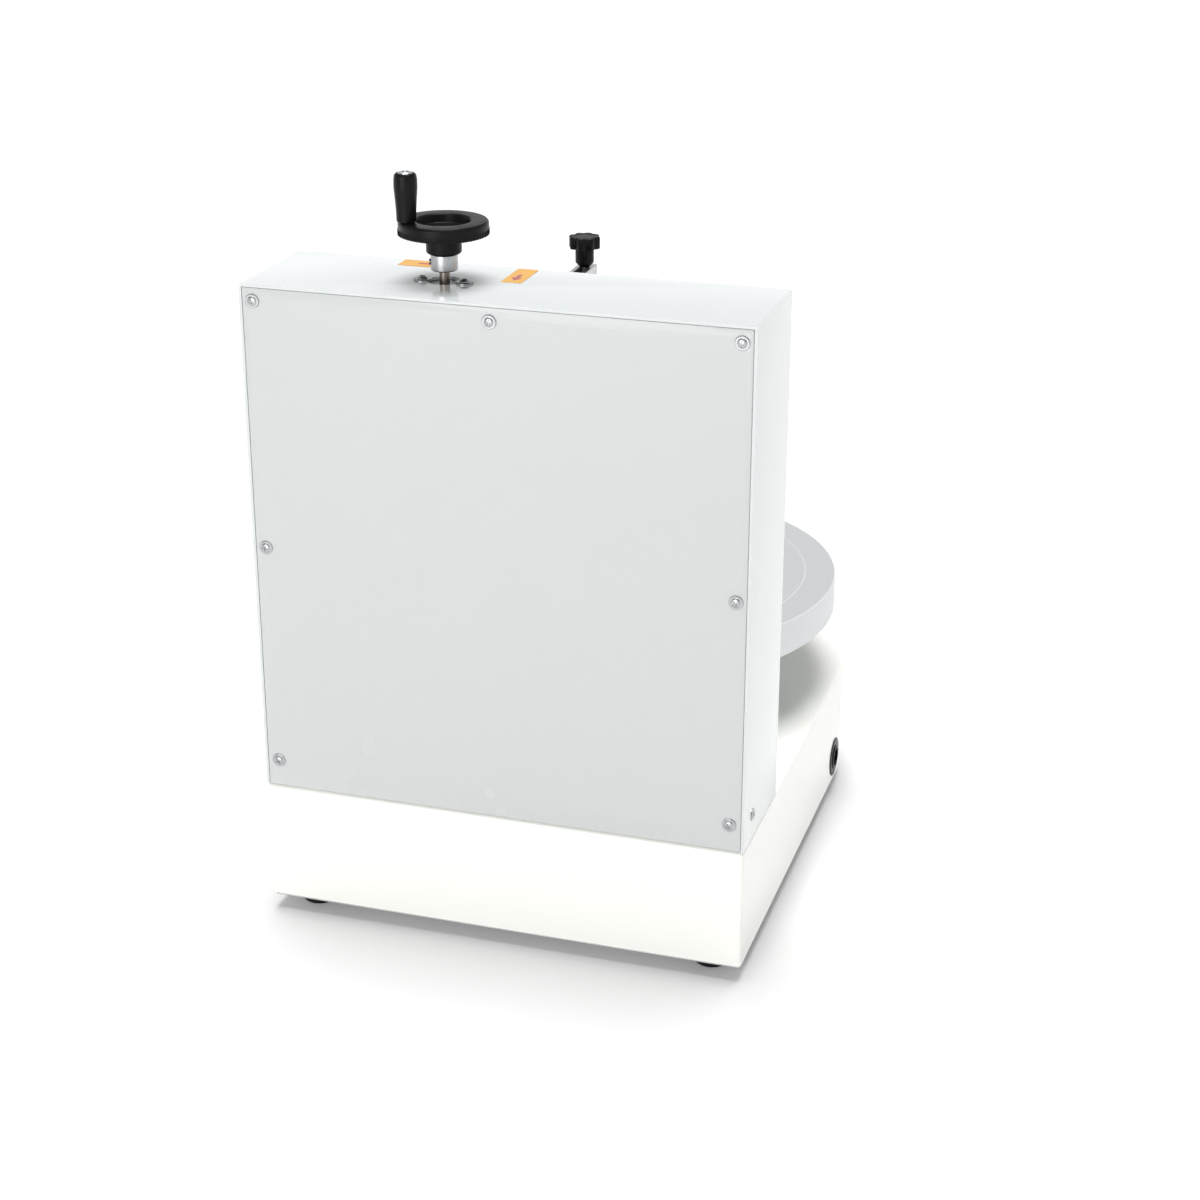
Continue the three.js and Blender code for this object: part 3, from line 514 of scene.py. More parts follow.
def roundBar(name, radius, start, end, at, axis="Z", steps=48):
    return spun(name, [(0, start), (radius, start), (radius, end), (0, end)], at, axis, steps)


# A flat outline pushed along `axis` from `low` to `high`, its sharp edges bevelled.
def prism(name, outline, low, high, at=(0, 0, 0), axis="Z", edge=0.4, segments=3):
    bm = bmesh.new()
    turn = directions[axis]
    rings = []
    for height in (low, high):
        spots = [Vector(at) + turn @ (Vector((x, y, height)) * mm) for x, y in outline]
        rings.append([bm.verts.new(spot) for spot in spots])
    bm.faces.new(list(reversed(rings[0])))
    bm.faces.new(rings[1])
    count = len(outline)
    for i in range(count):
        j = (i + 1) % count
        bm.faces.new((rings[0][i], rings[0][j], rings[1][j], rings[1][i]))
    bmesh.ops.recalc_face_normals(bm, faces=bm.faces)
    bevelSharp(bm, edge, segments)
    return fromBmesh(name, bm)


def bevelSharp(bm, edge, segments, chosen=None):
    if edge <= 0:
        return
    limit = math.radians(32)
    sharp = chosen or [e for e in bm.edges if len(e.link_faces) == 2 and e.calc_face_angle(0) > limit]
    bmesh.ops.bevel(
        bm, geom=sharp, offset=edge * mm, segments=segments, profile=0.5, affect="EDGES",
        clamp_overlap=True,
    )


def boxMesh(low, high):
    bm = bmesh.new()
    bmesh.ops.create_cube(bm, size=1)
    for vert in bm.verts:
        vert.co = Vector((low[k] + (vert.co[k] + 0.5) * (high[k] - low[k]) for k in range(3)))
    return bm


def softBox(name, low, high, edge=0.5, segments=3):
    bm = boxMesh(low, high)
    bevelSharp(bm, edge, segments)
    return fromBmesh(name, bm)


def rectangle(x0, y0, x1, y1):
    return [(x0, y0), (x1, y0), (x1, y1), (x0, y1)]


# Rings of points in millimetres from `at`, each joined to the next. Unless it closes, both ends are capped.
def skinned(name, loops, closed=False, at=(0, 0, 0)):
    count = len(loops[0])
    verts = [Vector(at) + Vector(point) * mm for loop in loops for point in loop]
    faces = []
    for a in range(len(loops) if closed else len(loops) - 1):
        b = (a + 1) % len(loops)
        for i in range(count):
            j = (i + 1) % count
            faces.append((a * count + i, a * count + j, b * count + j, b * count + i))
    if not closed:
        last = (len(loops) - 1) * count
        faces += [tuple(range(last, last + count)), tuple(reversed(range(count)))]
    return fromFaces(name, verts, faces)


# Turns a piece so that its new X, Y and Z are the given mixes of the old ones
def remapped(piece, offset, x, y, z):
    piece.data.transform(Matrix.Translation(offset) @ Matrix((x, y, z)).to_4x4())
    bm = bmesh.new()
    bm.from_mesh(piece.data)
    bmesh.ops.recalc_face_normals(bm, faces=bm.faces)
    bm.to_mesh(piece.data)
    bm.free()


def settled(piece):  # its modifiers become its mesh
    evaluated = piece.evaluated_get(bpy.context.evaluated_depsgraph_get())
    mesh = bpy.data.meshes.new_from_object(evaluated)
    piece.modifiers.clear()
    piece.data = mesh
    return piece


def combined(piece, operation, *others):
    for other in others:
        modifier = piece.modifiers.new("part", "BOOLEAN")
        modifier.operation = operation
        modifier.solver = "EXACT"
        modifier.object = other
        settled(piece)
        bpy.data.objects.remove(other)
    return piece


def carved(piece, *cutters):
    return combined(piece, "DIFFERENCE", *cutters)


def welded(piece, *others):
    return combined(piece, "UNION", *others)


def gathered(name, *parts):  # several closed bodies as one piece
    bm = bmesh.new()
    for part in parts:
        bm.from_mesh(part.data)
        bpy.data.objects.remove(part)
    return fromBmesh(name, bm)


def finished(piece, paint, body, nodes=(), angle=34):
    piece.data.materials.clear()
    piece.data.materials.append(paints[paint])
    piece.data.polygons.foreach_set("use_smooth", [True] * len(piece.data.polygons))
    piece.data.set_sharp_from_angle(angle=math.radians(angle))
    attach(piece, body)
    if nodes:
        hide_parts(*nodes)
    return piece


# ---- geometry node writing

class Growth:  # one Geometry Nodes tree with named sizes
    def __init__(self, name, sizes):
        self.tree = bpy.data.node_groups.new(name, "GeometryNodeTree")
        face = self.tree.interface
        face.new_socket("Geometry", in_out="INPUT", socket_type="NodeSocketGeometry")
        self.identifiers = {}
        for key, value in sizes.items():
            kind = "NodeSocketInt" if isinstance(value, int) else "NodeSocketFloat"
            if isinstance(value, bpy.types.Material):
                kind = "NodeSocketMaterial"
            self.identifiers[key] = face.new_socket(key, in_out="INPUT", socket_type=kind).identifier
        face.new_socket("Geometry", in_out="OUTPUT", socket_type="NodeSocketGeometry")
        self.source = self.tree.nodes.new("NodeGroupInput")
        self.sizes = sizes

    def size(self, key):
        return self.source.outputs[key]

    def node(self, kind, settings, sockets, out=0):
        made = self.tree.nodes.new(kind)
        for key, value in settings.items():
            setattr(made, key, value)
        for key, value in sockets.items():
            for item in value if isinstance(value, list) else [value]:
                if isinstance(item, bpy.types.NodeSocket):
                    self.tree.links.new(item, made.inputs[key])
                else:
                    made.inputs[key].default_value = item
        return made.outputs[out]

    def sum(self, operation, first, second):
        return self.node("ShaderNodeMath", {"operation": operation}, {0: first, 1: second})

    def xyz(self, x=0.0, y=0.0, z=0.0):
        return self.node("ShaderNodeCombineXYZ", {}, {0: x, 1: y, 2: z})

    def moved(self, geometry, offset=(0, 0, 0), turn=(0, 0, 0), scale=(1, 1, 1)):
        return self.node("GeometryNodeTransform", {}, {
            "Geometry": geometry, "Translation": offset, "Rotation": turn, "Scale": scale,
        })

    def joined(self, *parts):
        return self.node("GeometryNodeJoinGeometry", {}, {"Geometry": list(parts)})

    def minus(self, body, *cutters):
        return self.node("GeometryNodeMeshBoolean", {"operation": "DIFFERENCE", "solver": "EXACT"}, {
            0: body, 1: list(cutters),
        })

    def plus(self, *bodies):
        return self.node(
            "GeometryNodeMeshBoolean", {"operation": "UNION", "solver": "EXACT"}, {1: list(bodies)},
        )

    # Ends the tree, runs it on the piece's mesh and leaves a plain mesh.
    def grow(self, piece, geometry):
        realized = self.node("GeometryNodeRealizeInstances", {}, {"Geometry": geometry})
        coloured = self.node(
            "GeometryNodeSetMaterial", {}, {"Geometry": realized, "Material": self.size("material")},
        )
        sink = self.tree.nodes.new("NodeGroupOutput")
        self.tree.links.new(coloured, sink.inputs["Geometry"])
        modifier = piece.modifiers.new("growth", "NODES")
        modifier.node_group = self.tree
        for key, identifier in self.identifiers.items():
            modifier[identifier] = self.sizes[key]
        return settled(piece)


# Points that instances stand on, each with the way its instance faces
def seats(name, places):
    mesh = bpy.data.meshes.new(name)
    mesh.from_pydata([place for place, facing in places], [], [])
    facing = mesh.attributes.new("facing", "FLOAT_VECTOR", "POINT")
    for i, (place, way) in enumerate(places):
        facing.data[i].vector = way
    piece = bpy.data.objects.new(name, mesh)
    bpy.context.scene.collection.objects.link(piece)
    return piece


# Fine ribs in a ring, grown on the piece they belong to
def ribbed(piece, name, sizes, centre, turn=(0, 0, 0)):
    g = Growth(name, sizes)
    ring = g.node(
        "GeometryNodeMeshCircle", {}, {"Vertices": g.size("ribCount"), "Radius": g.size("ringRadius")},
    )
    rib = g.node("GeometryNodeMeshCylinder", {}, {
        "Vertices": 8, "Radius": g.size("ribRadius"), "Depth": g.size("ribLength"),
    })
    standing = g.node("GeometryNodeInstanceOnPoints", {}, {"Points": ring, "Instance": rib})
    g.grow(piece, g.joined(g.source.outputs["Geometry"], g.moved(standing, tuple(centre), turn)))


rimSteps, domeSteps, domeRings, lipShare = 40, 36, 18, 0.9


# Washer-head or flanged screws on every seat, turned at random by a fixed seed
def screws(name, places, sizes, recess):
    g = Growth(name, sizes)
    radius, height = g.size("washerRadius"), g.size("washerHeight")
    halfHeight = g.sum("MULTIPLY", height, 0.5)
    flat = g.node("GeometryNodeMeshCylinder", {}, {"Vertices": rimSteps, "Radius": radius, "Depth": height})
    edge = g.node("GeometryNodeMeshCone", {}, {
        "Vertices": rimSteps, "Radius Top": g.sum("MULTIPLY", radius, lipShare), "Radius Bottom": radius,
        "Depth": halfHeight,
    })
    ball = g.node("GeometryNodeMeshUVSphere", {}, {
        "Segments": domeSteps, "Rings": domeRings, "Radius": g.size("headRadius"),
    })
    flatten = g.sum("DIVIDE", g.size("headHeight"), g.size("headRadius"))
    dome = g.moved(ball, g.xyz(z=g.sum("MULTIPLY", height, lipShare)), scale=g.xyz(1, 1, flatten))
    body = g.plus(g.plus(g.moved(flat, g.xyz(z=halfHeight)), g.moved(edge, g.xyz(z=height))), dome)
    head = g.minus(body, *recess(g))
    facing = g.node("GeometryNodeInputNamedAttribute", {"data_type": "FLOAT_VECTOR"}, {"Name": "facing"})
    upright = g.node("FunctionNodeAlignRotationToVector", {"axis": "Z"}, {"Vector": facing})
    spin = g.node(
        "FunctionNodeRandomValue", {"data_type": "FLOAT"}, {"Max": 6.283, "Seed": g.size("seed")}, 1,
    )
    local = g.node("FunctionNodeAxisAngleToRotation", {}, {"Axis": (0, 0, 1), "Angle": spin})
    turned = g.node("FunctionNodeRotateRotation", {"rotation_space": "LOCAL"}, {
        "Rotation": upright, "Rotate By": local,
    })
    points = g.node("GeometryNodeMeshToPoints", {}, {"Mesh": g.source.outputs["Geometry"]})
    placed = g.node(
        "GeometryNodeInstanceOnPoints", {}, {"Points": points, "Instance": head, "Rotation": turned},
    )
    return g.grow(seats(name, places), placed)


def headTop(g):
    return g.xyz(z=g.sum("ADD", g.size("washerHeight"), g.size("headHeight")))


def crossRecess(g):
    width, depth = g.size("recessWidth"), g.size("recessDepth")
    slot = g.node("GeometryNodeMeshCube", {}, {"Size": g.xyz(g.size("recessLength"), width, depth)})
    pit = g.node("GeometryNodeMeshCone", {}, {
        "Vertices": 16, "Radius Top": width, "Radius Bottom": 0.0001, "Depth": depth,
    })
    cutters = [g.moved(slot, headTop(g), (0, 0, turn)) for turn in (0.0, math.pi / 2)]
    return cutters + [g.moved(pit, g.xyz(z=g.sum("MULTIPLY", g.size("headHeight"), 0.7)))]


def hexRecess(g):
    socket = g.node("GeometryNodeMeshCylinder", {}, {
        "Vertices": 6, "Radius": g.size("recessWidth"), "Depth": g.size("recessDepth"),
    })
    return [g.moved(socket, headTop(g))]


makeCamera()
makeSky()
makeLights()
floorHalf = 30
floorMesh = bpy.data.meshes.new("floor")
floorCorners = [(x, y, 0) for x, y in rectangle(-floorHalf, -floorHalf, floorHalf, floorHalf)]
floorMesh.from_pydata(floorCorners, [], [(0, 1, 2, 3)])
floorMesh.materials.append(studioFloor("studioFloor"))
floor = bpy.data.objects.new("floor", floorMesh)
bpy.context.scene.collection.objects.link(floor)
print("camera, floor and light made")


# ---- base

base = {
    "corner": 150, "bend": 2.5, "edge": 4, "wall": 2, "hem": 9, "hole": 24, "arcSteps": 40, "edgeSteps": 7,
    "bezel": 1, "dialHole": 5, "fittingHole": 13,
}


# The base's outline: two small corners at the rear and two large ones in front
def baseLoop(inset, low, high):
    half, back, front = high.x / mm - inset, high.y / mm - inset, low.y / mm + inset
    rear = max(base["bend"] - inset, 0.2)
    big = base["corner"] - inset
    corners = [
        (-half + rear, back - rear, rear, 90, 6), (-half + big, front + big, big, 180, base["arcSteps"]),
        (half - big, front + big, big, 270, base["arcSteps"]), (half - rear, back - rear, rear, 0, 6),
    ]
    points = []
    for cx, cy, r, start, steps in corners:
        for k in range(steps + 1):
            angle = math.radians(start + 90 * k / steps)
            points.append((cx + r * math.cos(angle), cy + r * math.sin(angle)))
    return points


def makeBaseShell():
    low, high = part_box("base_shell")
    floorZ, topZ = low.z / mm, high.z / mm
    edge, wall = base["edge"], base["wall"]
    profile = [
        (wall, floorZ + 0.5), (wall - 0.3, floorZ), (0.4, floorZ), (0, floorZ + 0.4),
        (0, floorZ + base["hem"]),
    ]
    for k in range(base["edgeSteps"] + 1):
        angle = math.pi / 2 * k / base["edgeSteps"]
        profile.append((edge - edge * math.cos(angle), topZ - edge + edge * math.sin(angle)))
    loops = [[(x, y, z) for x, y in baseLoop(inset, low, high)] for inset, z in profile]
    axis = turntableAxis / mm
    aims = [math.atan2(y - axis.y, x - axis.x) for x, y, z in loops[-1]]
    for z in (topZ, topZ - wall):
        r = base["hole"]
        loops.append([(axis.x + r * math.cos(aim), axis.y + r * math.sin(aim), z) for aim in aims])
    loops.append([(x, y, topZ - wall) for x, y in baseLoop(wall, low, high)])
    shell = carved(skinned("baseShell", loops, closed=True), *baseHoles(low))
    finished(shell, "base", "housing", ["base_shell"], 30)


# The windows behind the front panel's parts and the two round holes low on the sides
def baseHoles(low):
    cutters = []
    pad, through = base["bezel"] * mm, 10 * mm
    for node in ("speed_display", "power_switch"):
        a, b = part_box(node)
        start, end = (a.x + pad, low.y - through, a.z + pad), (b.x - pad, low.y + through, b.z - pad)
        cutters.append(softBox("hole", start, end, 0))
    dialAt = (middle("speed_knob").x, low.y, middle("speed_knob").z)
    cutters.append(roundBar("hole", base["dialHole"], -9, 9, dialAt, "Y", 32))
    for node in ("power_inlet", "pedal_socket"):
        cutters.append(roundBar("hole", base["fittingHole"], -30, 30, middle(node), "X", 64))
    return cutters


def makeFloorPlate():
    low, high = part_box("floor_plate")
    plate = prism("floorPlate", baseLoop(0, low, high), low.z / mm, high.z / mm, edge=0.3, segments=2)
    finished(plate, "sheet", "housing", ["floor_plate"])


foot = {"bore": 4, "ring": 7, "groove": 0.9, "sole": 3.2, "flare": 1.2, "flareHeight": 1.8}


def makeFeet():
    for node in ("foot_rear_left", "foot_rear_right", "foot_front_left", "foot_front_right"):
        at, r, tall = turnedSize(node)
        bore, ring, groove = foot["bore"], foot["ring"], foot["groove"]
        profile = rounded([
            (0, 0), (bore, 0, 0), (bore + 0.6, groove), (ring - 0.6, groove), (ring, 0), (
                r - foot["sole"], 0, 1.2,
            ),
            (r - foot["flare"], foot["flareHeight"], 1), (r, tall, 0.6), (0, tall),
        ], 0.3)
        finished(spun(node + "Pad", profile, at, steps=64), "rubber", "housing", [node])


makeBaseShell()
makeFloorPlate()
makeFeet()
print("base made")


# ---- column

column = {
    "bend": 2.6, "wall": 2.5, "slotHalf": 13, "slotLow": 175, "slotTop": 18, "slotCorner": 5, "hole": 14.5,
    "rim": 20, "rimLow": 16, "gap": 0.3,
}


def makeColumnShell():
    low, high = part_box("column_shell")
    bm = boxMesh(low, high)
    bevelSharp(bm, column["bend"], 5, [e for e in bm.edges if isFold(e, low, high)])
    shell = fromBmesh("columnShell", bm)
    wall, through = column["wall"] * mm, 10 * mm
    wellHigh = (high.x - wall, high.y + through, high.z - wall)
    well = softBox("well", (low.x + wall, low.y + wall, low.z - through), wellHigh, 0)
    half = column["slotHalf"]
    slotLow, slotTop = low.z / mm + column["slotLow"], high.z / mm - column["slotTop"]
    outline = rounded(rectangle(-half, slotLow, half, slotTop), column["slotCorner"], 5, True)
    slot = prism("slot", outline, -9, 9, (0, low.y, 0), "-Y", 0)
    hole = roundBar("hole", column["hole"], -9, 9, onAxis("lead_screw", high.z), steps=72)
    carved(shell, well, slot, hole)
    rim, rimLow = column["rim"] * mm, column["rimLow"] * mm
    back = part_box("rear_cover")[0].y - column["gap"] * mm
    rimHigh = (high.x - wall / 2, back, high.z - wall / 2)
    frameRing = softBox("rim", (low.x + wall / 2, back - 2 * mm, low.z), rimHigh, 0)
    innerHigh = (high.x - rim, back + 2 * through, high.z - rim)
    inner = softBox("inner", (low.x + rim, back - 2 * through, low.z + rimLow), innerHigh, 0)
    welded(shell, carved(frameRing, inner))
    finished(shell, "column", "housing", ["column_shell"], 30)


# The sheet is folded at the front uprights and round the top, not along its open back edges.
def isFold(edge, low, high):
    a, b = edge.verts[0].co, edge.verts[1].co
    if abs(a.z - b.z) > 0.1:
        return abs(a.y - low.y) < 1e-6
    onTop = abs(a.z - high.z) < 1e-6 and abs(b.z - high.z) < 1e-6
    alongBack = abs(a.y - high.y) < 1e-6 and abs(b.y - high.y) < 1e-6
    return onTop and not alongBack


cover = {"edge": 0.5, "hole": 2.8}
screwNodes = [f"cover_screw_{i}" for i in range(1, 8)]


def makeRearCover():
    low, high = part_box("rear_cover")
    sheet = softBox("rearCover", low, high, cover["edge"], 2)
    spots = [(middle(n).x, high.y, middle(n).z) for n in screwNodes]
    carved(sheet, *(roundBar("hole", cover["hole"], -9, 9, spot, "Y", 24) for spot in spots))
    finished(sheet, "cover", "housing", ["rear_cover"], 30)


coverScrew = {
    "washerRadius": 6.1 * mm, "washerHeight": 0.7 * mm, "headRadius": 4.4 * mm, "headHeight": 1.8 * mm,
    "recessLength": 4.6 * mm, "recessWidth": 1.1 * mm, "recessDepth": 2.4 * mm, "seed": 7,
    "material": paints["zinc"],
}
sideScrew = dict(
    coverScrew, washerRadius=5.6 * mm, washerHeight=0.5 * mm, headHeight=1.1 * mm, recessDepth=1.6 * mm,
)
sideScrewAt = {"y": -30, "z": 133.7}


def makeScrews():
    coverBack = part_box("rear_cover")[1].y
    places = [((middle(n).x, coverBack + 0.1 * mm, middle(n).z), (0, 1, 0)) for n in screwNodes]
    piece = screws("coverScrews", places, coverScrew, crossRecess)
    finished(piece, "zinc", "housing", screwNodes, 28)
    low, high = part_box("column_shell")
    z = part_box("base_shell")[0].z + sideScrewAt["z"] * mm
    y = high.y + sideScrewAt["y"] * mm
    sides = [((low.x - 0.05 * mm, y, z), (-1, 0, 0)), ((high.x + 0.05 * mm, y, z), (1, 0, 0))]
    finished(screws("sideScrews", sides, sideScrew, crossRecess), "zinc", "housing", (), 28)


bearingScrew = {
    "washerRadius": 7.6 * mm, "washerHeight": 0.9 * mm, "headRadius": 4.9 * mm, "headHeight": 2.7 * mm,
    "recessWidth": 2.5 * mm, "recessDepth": 3.2 * mm, "seed": 3, "material": paints["zinc"],
}


def makeBearingScrews():
    nodes = ["bearing_screw_1", "bearing_screw_2"]
    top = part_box("column_shell")[1].z
    places = [((middle(n).x, middle(n).y, top + 0.1 * mm), (0, 0, 1)) for n in nodes]
    piece = screws("bearingScrews", places, bearingScrew, hexRecess)
    finished(piece, "zinc", "housing", nodes, 28)


sticker = {"thickness": 0.25, "ink": 0.12, "corner": 1.2, "tip": 10, "tail": 9, "barb": 4.6, "shaft": 1.6}


# A label with a plain arrow printed on it, lying on the column top
def makeSticker(name, x, y, length, width, turn, arrowAt):
    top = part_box("column_shell")[1].z / mm
    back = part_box("column_shell")[1].y / mm
    turned = Matrix.Rotation(math.radians(turn), 2)

    def laid(points):
        return [tuple(turned @ Vector(p) + Vector((x, y + back))) for p in points]

    half, side = length / 2, width / 2
    paper = rounded(rectangle(-half, -side, half, side), sticker["corner"], 3, True)
    height = top + sticker["thickness"]
    piece = prism(name, laid(paper), top + 0.02, height, edge=0.05, segments=1)
    finished(piece, "orange", "housing", (), 30)
    tip, tail, neck = arrowAt + sticker["tip"], arrowAt - sticker["tail"], arrowAt + 1
    barb, shaft = sticker["barb"], sticker["shaft"]
    arrow = [
        (tail, -shaft), (neck, -shaft), (neck, -barb), (tip, 0), (neck, barb), (neck, shaft), (tail, shaft),
    ]
    ink = prism(name + "Arrow", laid(arrow), height, height + sticker["ink"], edge=0.03, segments=1)
    finished(ink, "arrow", "housing", (), 30)


makeColumnShell()
makeRearCover()
makeScrews()
makeBearingScrews()
makeSticker("labelReach", 6.5, -92.5, 46, 18, 90, 6)
makeSticker("labelLift", 95, -107, 46, 19, 180, 2)
print("column made")


# ---- handwheel, screw and grip

wheel = {
    "hub": 14.8, "rimDepth": 12, "well": 21, "wellDepth": 7.6, "ribLength": 4.6, "ribRadius": 0.55,
    "ribCount": 90,
}


def makeHandwheel():
    at, rim, tall = turnedSize("handwheel")
    hub, well = wheel["hub"], wheel["well"]
    rimLow, floorZ = tall - wheel["rimDepth"], tall - wheel["wellDepth"]
    profile = rounded([
        (0, 0), (hub - 0.9, 0, 0.6), (hub, 1.2, 0.5), (hub, rimLow - 1, 1.8), (rim - 2.4, rimLow, 0.8),
        (rim - 0.5, rimLow + 1.4, 0.8), (rim - 0.5, tall - 1.6, 1.4), (rim - 1.9, tall, 1.2),
        (well + 2.6, tall, 0.9), (well + 1.5, tall - 1.1, 0.5), (well, floorZ + 0.4, 1.6), (9, floorZ, 0.4),
        (8.2, floorZ + 1.3, 0.6), (0, floorZ + 1.7),
    ], 1.0)
    body = spun("handwheelBody", profile, at, steps=128)
    sizes = {
        "ribCount": wheel["ribCount"], "ribRadius": wheel["ribRadius"] * mm,
        "ribLength": wheel["ribLength"] * mm,
        "ringRadius": (rim - 0.6) * mm, "material": paints["black"],
    }
    ribbed(body, "handwheelRibs", sizes, at + Vector((0, 0, (rimLow + 0.6 + wheel["ribLength"] / 2) * mm)))
    finished(body, "black", "handwheel_screw", ["handwheel"], 30)


grip = {"bore": 3.8, "foot": 8.1, "waist": 8.3, "belly": 9.8, "top": 9.1}
bolt = {"shank": 3.2, "head": 6.3, "headHeight": 2}


def makeGrip():
    at, _, tall = turnedSize("crank_grip")
    bore, waist = grip["bore"], grip["waist"]
    profile = rounded([
        (bore, 0.2, 0.2), (6.9, 0, 0.5), (grip["foot"], 1, 0.8), (waist, 9, 4), (waist + 0.8, 20, 9),
        (grip["belly"], 29, 6), (grip["belly"] - 0.1, tall - 5, 4), (grip["top"], tall - 1.5, 1.4),
        (7.6, tall, 0.6), (6.9, tall - 0.4, 0.3), (6.9, tall - 1.5, 0.3), (bore, tall - 1.6, 0.3),
    ], 0.5, 5, True)
    piece = spun("crankGrip", profile, at, steps=72)
    finished(piece, "blackFine", "crank_grip", ["crank_grip"], 32)
    at, _, tall = turnedSize("grip_bolt")
    shank, head, under = bolt["shank"], bolt["head"], tall - bolt["headHeight"]
    profile = rounded([
        (0, 0), (shank, 0), (shank, under), (head, under), (head, tall - 0.6, 0.5), (head - 1.1, tall, 0.6),
        (shank, tall - 0.1, 0.1), (shank - 0.3, tall - 0.9, 0.1), (0, tall - 1),
    ], 0.2)
    piece = spun("gripBolt", profile, at, steps=64)
    finished(piece, "chrome", "handwheel_screw", ["grip_bolt"])


sleeve = {"bore": 4.6, "chamfer": 0.9, "screwRadius": 2.4, "screwStart": 6, "screwEnd": 12.6, "screwTurn": 21}


def makeCoupling():
    at, r, tall = turnedSize("coupling_sleeve")
    bore, chamfer = sleeve["bore"], sleeve["chamfer"]
    profile = rounded([
        (bore, 0.5, 0), (bore + 0.5, 0, 0), (r - chamfer, 0, 0.2), (r, chamfer, 0.3), (
            r, tall - chamfer, 0.3,
        ),
        (r - chamfer, tall, 0.2), (bore + 0.5, tall, 0), (bore, tall - 0.5, 0),
    ], 0.2, 3, True)
    piece = spun("couplingSleeve", profile, at, steps=96)
    finished(piece, "zinc", "handwheel_screw", ["coupling_sleeve"])
    start, end, wide = sleeve["screwStart"], sleeve["screwEnd"], sleeve["screwRadius"]
    profile = [
        (0, start), (wide, start), (wide, end, 0.4), (wide - 1, end, 0.1), (1.2, end - 1.6, 0),
        (0, end - 1.8),
    ]
    screw = spun("couplingSetScrew", rounded(profile, 0.1), (0, 0, 0), "X", 24)
    aim = Matrix.Rotation(math.radians(sleeve["screwTurn"]), 4, "Z")
    screw.data.transform(Matrix.Translation(middle("coupling_sleeve")) @ aim)
    finished(screw, "oiled", "handwheel_screw", ())


leadScrew = {"core": 3.9, "journal": 4.3, "threadTop": 438}
thread = {"turns": 218.0, "pitch": 2 * mm, "crest": 4.05 * mm, "root": 0.34 * mm, "material": paints["oiled"]}


def makeLeadScrew():
    at, _, tall = turnedSize("lead_screw")
    core, journal, threadTop = leadScrew["core"], leadScrew["journal"], leadScrew["threadTop"]
    profile = rounded([
        (0, 0), (core - 0.5, 0, 0.3), (core, 0.6, 0.1), (core, threadTop, 0), (journal, threadTop + 1, 0.1),
        (journal, tall - 0.5, 0.3), (3.6, tall, 0), (0, tall),
    ], 0.1)
    piece = spun("leadScrew", profile, at, steps=40)
    g = Growth("leadThread", thread)
    helix = g.node("GeometryNodeCurveSpiral", {}, {
        "Resolution": 18, "Rotations": g.size("turns"), "Start Radius": g.size("crest"),
        "End Radius": g.size("crest"), "Height": g.sum("MULTIPLY", g.size("turns"), g.size("pitch")),
    })
    section = g.node("GeometryNodeCurvePrimitiveCircle", {}, {"Resolution": 5, "Radius": g.size("root")})
    ridge = g.node(
        "GeometryNodeCurveToMesh", {}, {"Curve": helix, "Profile Curve": section, "Fill Caps": True},
    )
    laid = g.moved(ridge, tuple(at + Vector((0, 0, 1 * mm))))
    g.grow(piece, g.joined(g.source.outputs["Geometry"], laid))
    finished(piece, "oiled", "handwheel_screw", ["lead_screw"], 40)


makeHandwheel()
makeGrip()
makeCoupling()
makeLeadScrew()
print("handwheel and screw made")


# ---- star knobs

knob = {
    "lobes": 8, "radius": 14.3, "dip": 2.3, "neck": 8.3, "head": 11, "steps": 24, "bore": 5.3, "seatGap": 0.3,
    "stud": 3,
}


def makeStarKnob(name, node, body, bored):
    at, _, tall = turnedSize(node)
    headLow = tall - knob["head"]
    steps = knob["steps"] * knob["lobes"]
    angles = [2 * math.pi * i / steps for i in range(steps)]

    def lobed(shrink, z):
        ring = []
        for angle in angles:
            wave = 0.5 + 0.5 * math.cos(knob["lobes"] * angle)
            reach = knob["radius"] - shrink - knob["dip"] * (1 - wave ** 0.7)
            ring.append((reach * math.cos(angle), reach * math.sin(angle), z))
        return ring

    loops = [lobed(2.4, headLow + 0.1), lobed(1.0, headLow), lobed(0.3, headLow + 0.3), lobed(0, headLow + 1)]
    loops += [lobed(0, tall - 1.4), lobed(0.3, tall - 0.6), lobed(1.1, tall - 0.1), lobed(2.2, tall)]
    for reach, sink in ((9.6, 0), (9.2, 0.35), (8.8, 0.35), (4, 0.35)):
        loops.append([(reach * math.cos(a), reach * math.sin(a), tall - sink) for a in angles])
    head = skinned(name, loops, at=at)
    neck, overlap = knob["neck"], headLow + 1.5
    if bored:
        bore = knob["bore"]
        profile = [
            (bore, 0.2, 0), (bore + 0.6, 0, 0.3), (neck, 3.5, 1.5), (neck, overlap, 0), (bore, overlap, 0),
        ]
        shaped = spun("neck", rounded(profile, 0.3, 4, True), at, steps=64)
    else:
        seat, wide = (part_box("arm_bar")[1].z - at.z) / mm + knob["seatGap"], knob["stud"]
        profile = [(0, seat), (4.6, seat, 0.3), (neck, seat + 3.8, 1.5), (neck, overlap, 0), (0, overlap)]
        shaped = spun("neck", rounded(profile, 0.3), at, steps=64)
        profile = [(0, 0), (wide - 0.6, 0, 0.2), (wide, 0.8, 0.1), (wide, seat + 2, 0), (0, seat + 2)]
        stud = spun(name + "Stud", rounded(profile, 0.1), at, steps=32)
        finished(stud, "zinc", body, ())
    finished(gathered(name, head, shaped), "black", body, [node], 30)


makeStarKnob("starKnob", "star_knob", "star_knob", False)
makeStarKnob("sideClampKnob", "side_knob", "side_knob", True)


# ---- scrapers and arm

arm = {"edge": 0.7, "slotHalf": 3.6, "slotFront": -47, "slotBack": 41, "slotCentre": 53}


